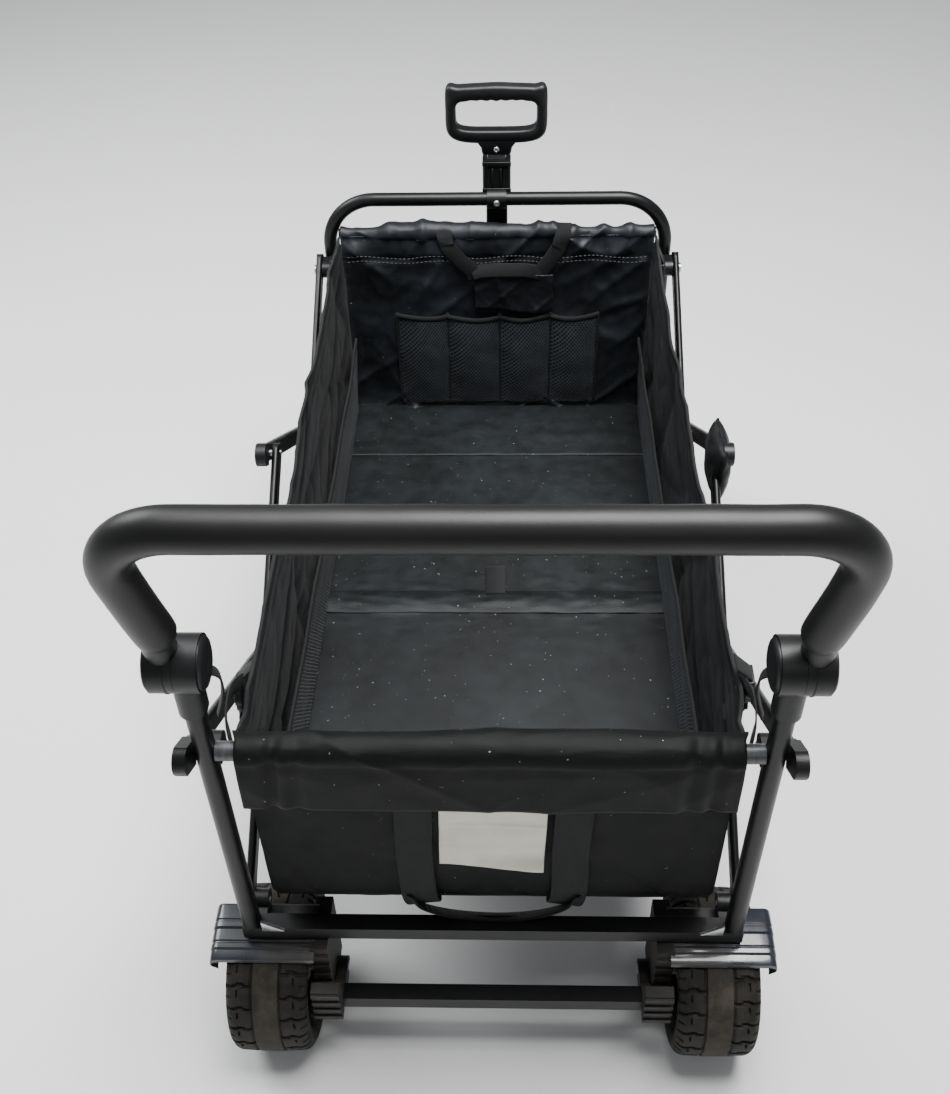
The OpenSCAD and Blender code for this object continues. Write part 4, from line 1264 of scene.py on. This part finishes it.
def buckle_at(name, x, y, z, slope, body):
    """slope is the lean of the buckle's length away from vertical, towards +Y."""
    along = Vector((0.0, math.sin(slope), math.cos(slope)))
    wide = Vector((0.0, math.cos(slope), -math.sin(slope)))
    out = Vector((1.0 if x > 0 else -1.0, 0.0, 0.0))
    centre = Vector((x, y, z))

    def spot(a, b, c):
        return centre + wide * a + along * b + out * c
    parts = [slab(buckle_half(0.028, 0.020, 0.026, 1), 0.0085, spot),
             slab(buckle_half(0.027, 0.017, 0.023, -1), 0.0070, spot)]
    for k in (-1, 0, 1):
        parts.append(slab(block(0.009, 0.0010), 0.0020,
                          lambda a, b, c, k=k: spot(a, b + 0.011 + 0.004 * k, c + 0.0050)))
    soften(moulding(name, joined(*parts), body), 0.0009)
    sink = abs(x) - web_end_x
    for end, sign in (("upper", 1), ("lower", -1)):
        points = [centre + along * sign * t + out * o for t, o in
                  ((0.016, 0.001), (0.026, 0.0010), (0.036, -0.4 * sink), (0.047, -sink))]
        strap(f"{name}_{end}_web", points, 0.020, tuple(out), body, 0.0018, 16)


buckle_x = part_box("rear_buckles")[1][0] + 0.0060
buckle_at("buckle_rear_left", -buckle_x, -0.400, 0.492, 0.10, "rear_upper")
buckle_at("buckle_rear_right", buckle_x, -0.405, 0.516, -0.12, "rear_upper")
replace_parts(bpy.data.objects["buckle_rear_left"], "rear_buckles")
buckle_at("buckle_front_left", -0.2585, 0.452, 0.522, 0.16, "front_upper")
buckle_at("buckle_front_right", 0.2585, 0.452, 0.520, -0.16, "front_upper")
for side, sign in SIDES:
    points = [(sign * 0.2600, -0.412, 0.532), (sign * 0.2660, -0.440, 0.545),
              (sign * 0.2655, -0.468, 0.540), (sign * 0.2600, -0.486, 0.520)]
    strap(f"corner_web_{side}", points, 0.020, (sign, 0, 0.2), "rear_upper", 0.0018, 26)
print("buckles fastened: 4")

# %% [markdown]
# ## Small hardware
# Screws and slots are what make mouldings look assembled. Each screw is a turned cap with a
# round recess, and the lock sleeve gets two raised ribs. The knuckles get stepped caps.

# %% Screws, sleeve ribs and knuckle caps
def screw(name, at, direction, radius, body):
    out = Vector(direction).normalized()
    side = out.orthogonal().normalized()
    up = out.cross(side)
    profile = [(0.0, radius), (radius * 0.30, radius), (radius * 0.52, radius * 0.80),
               (radius * 0.60, radius * 0.45), (radius * 0.36, radius * 0.30), (radius * 0.34, 0.0002)]
    count, points = 20, []
    for i in range(count):
        a = 2 * math.pi * i / count
        ray = side * math.cos(a) + up * math.sin(a)
        points += [Vector(at) + out * x + ray * rr for x, rr in profile]
    m = len(profile)
    faces = skin(count, m, close_rings=True)
    faces += [tuple(i * m + m - 1 for i in range(count)),
              tuple(i * m for i in reversed(range(count)))]
    crisp(piece(name, points, faces, steel, body, "bare_steel"), 50)


hoop_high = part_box("front_hoop")[1][2] - 0.0105
screw_radius = 0.0046
screw("clip_screw", (0.0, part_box("handle_clip")[0][1] + 0.0002, hoop_high), (0, -1, 0.1),
      screw_radius, "front_upper")
screw("neck_screw", (0.0, grip_middle.y - 0.0122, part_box("pull_grip")[0][2] + 0.010), (0, -1, 0),
      screw_radius, "pull_slide")
(_, sleeve_y, sleeve_foot), (_, _, sleeve_top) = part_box("lock_sleeve")
rib_half = (sleeve_top - sleeve_foot) * 0.27


def on_sleeve(name, half_w, half_h, depth, proud, x, z, edge):
    """A raised bar on the face of the lock sleeve that looks into the basket."""
    bar = slab(block(half_w, half_h), depth,
               lambda a, b, c: Vector((x + a, sleeve_y - proud + c, z + b)))
    soften(moulding(name, bar, "pull_lock"), edge)


for k, x in enumerate((-0.0065, 0.0065)):
    on_sleeve(f"sleeve_rib_{k}", 0.0016, rib_half, 0.0032, 0.0008, x,
              (sleeve_top + sleeve_foot) / 2, 0.0007)
for k, z in enumerate((sleeve_foot + 0.0045, sleeve_top - 0.0045)):
    on_sleeve(f"sleeve_lip_{k}", 0.0225, 0.0035, 0.0030, 0.0006, 0.0, z, 0.0010)

out_x, in_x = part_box("knuckle_hubs")[1][0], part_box("knuckle_housings")[1][0]
cap_steps = [(0.0, 0.0262), (0.0018, 0.0262), (0.0032, 0.0248), (0.0032, 0.0205), (0.0022, 0.0190),
             (0.0022, 0.0060), (0.0034, 0.0042), (0.0034, 0.0003)]
seam_steps = [(0.0030, 0.0278), (0.0026, 0.0287), (0.0006, 0.0287), (0.0002, 0.0278)]
for side, sign in SIDES:
    cap = [(sign * (out_x - 0.0006 + x), rr) for x, rr in cap_steps]
    crisp(moulding(f"knuckle_cap_{side}", turned(cap, knuckle, 48, False), "push_handle"), 30)
    band = [(sign * (in_x - x), rr) for x, rr in seam_steps]
    crisp(moulding(f"knuckle_seam_{side}", turned(band, knuckle), "rear_upper"), 30)
print("screws, ribs and knuckle caps fitted")

# %% [markdown]
# A short webbing strap curves from each knuckle to a lug on the upright's inner side, and a
# cloth pouch is folded over the middle crossing on the right. A small steel gusset stiffens each
# lower end of the rear frame.

# %% Knuckle straps, gussets and outer pouch
for side, sign in SIDES:
    points = [(sign * 0.262, -0.500, 0.650), (sign * 0.255, -0.488, 0.628),
              (sign * 0.256, -0.486, 0.600), (sign * 0.262, -0.496, 0.578)]
    strap(f"knuckle_web_{side}", points, 0.012, (-sign, 0.4, 0.0), "rear_upper", 0.0020, 26)
    gusset = [(0.0, 0.0), (0.026, 0.0), (0.0, 0.030)]
    soften(piece(f"gusset_{side}", *slab(gusset, 0.004, lambda a, b, c, sign=sign: Vector(
        (sign * (0.2630 - a), -0.5235 + c, 0.2285 + b * 0.6))), steel, "rear_base", "bare_steel"), 0.0008)


def pouch_sheet(u, v):
    a = 2 * math.pi * u
    bulge = 0.5 + 0.5 * math.cos(a)
    z = 0.4720 + 0.0700 * v
    pinch = math.sin(math.pi * min(1.0, 0.12 + v * 0.88)) ** 0.4
    x = 0.2920 + 0.0165 * math.cos(a) * pinch + 0.0020 * smooth_noise(a * 2, v * 5, 7.0)
    y = (0.0470 * math.sin(a) * (0.75 + 0.25 * pinch)
         + 0.0020 * smooth_noise(a, v * 7, 4.0) * bulge)
    return Vector((x, y, z + 0.0020 * smooth_noise(a * 1.5, 3.0, v)))


pouch = piece("outer_pouch", *grid(64, 34, pouch_sheet, closed_u=True), wall_cloth,
              "falling_front_bars", "basket_fabric")
area = sheet_area(pouch)
thicken(pouch, 0.0014)
print("pouch area", round(area, 5))

# %% [markdown]
# ## Wheel saddles
# Each rear wheel wears a moulded saddle with three steps, like shallow stairs that follow the
# tyre down. Its outer edge turns down and in as a cheek. One bent grid makes the whole skin.

# %% Stepped saddles over the rear wheels
saddle_steps = [(-0.4730, 0.1985), (-0.4745, 0.2030), (-0.4770, 0.2042), (-0.4945, 0.2042),
                (-0.4958, 0.2030), (-0.4975, 0.2030), (-0.4988, 0.2042), (-0.5050, 0.2040),
                (-0.5068, 0.2012), (-0.5200, 0.2002), (-0.5212, 0.1988), (-0.5228, 0.1988),
                (-0.5240, 0.1996), (-0.5290, 0.1990), (-0.5306, 0.1962), (-0.5385, 0.1950),
                (-0.5418, 0.1930), (-0.5424, 0.1880)]
saddle_in, saddle_bend = 0.2060, 0.3190


def saddle_skin(sign):
    across = [saddle_in + (saddle_bend - saddle_in) * k / 12 for k in range(13)]
    turn = [(saddle_bend + 0.0090 * math.sin(a), 0.0070 * (1 - math.cos(a)))
            for a in (math.pi / 2 * k / 5 for k in range(1, 6))]
    drop = [(0.3280 - 0.0050 * k / 4, 0.0070 + 0.0150 * k / 4) for k in range(1, 5)]
    lanes = [(x, 0.0) for x in across] + turn + drop

    def formula(u, v):
        y, z = saddle_steps[round(u * (len(saddle_steps) - 1))]
        x, fall = lanes[round(v * (len(lanes) - 1))]
        pull = 0.35 * max(0.0, fall - 0.0070)
        y += pull if y < -0.53 else (-pull if y < -0.4760 and y > -0.48 else 0.0)
        return Vector((sign * x, y, z - fall))
    return grid(len(saddle_steps), len(lanes), formula)


for side, sign in SIDES:
    shell = piece(f"saddle_{side}", *saddle_skin(sign), saddle, "rear_base", "fender_plastic")
    thicken(shell, 0.0024 * sign)
    soften(crisp(shell, 28), 0.0007, 2, 25)
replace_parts(bpy.data.objects["saddle_left"], "rear_fenders")
print("saddles moulded, steps:", 3)

# %% [markdown]
# Each knuckle's inner face is a broad domed button with a rim, pressed in to let the handle tilt.

# %% Domed knuckle buttons
dome_steps = [(-0.0008, 0.0255), (0.0012, 0.0255), (0.0030, 0.0240), (0.0042, 0.0205),
              (0.0046, 0.0190), (0.0040, 0.0180), (0.0042, 0.0100), (0.0046, 0.0003)]
for side, sign in SIDES:
    button_low, button_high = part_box(f"knuckle_button_{side}")
    root = (button_low[0] if sign > 0 else button_high[0]) + sign * 0.0050
    profile = [(root - sign * x, rr) for x, rr in dome_steps]
    shape = turned(profile, knuckle, 56, False)
    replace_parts(crisp(moulding(f"knuckle_dome_{side}", shape, f"button_{side}"), 32),
                f"knuckle_button_{side}")
print("knuckle buttons domed")
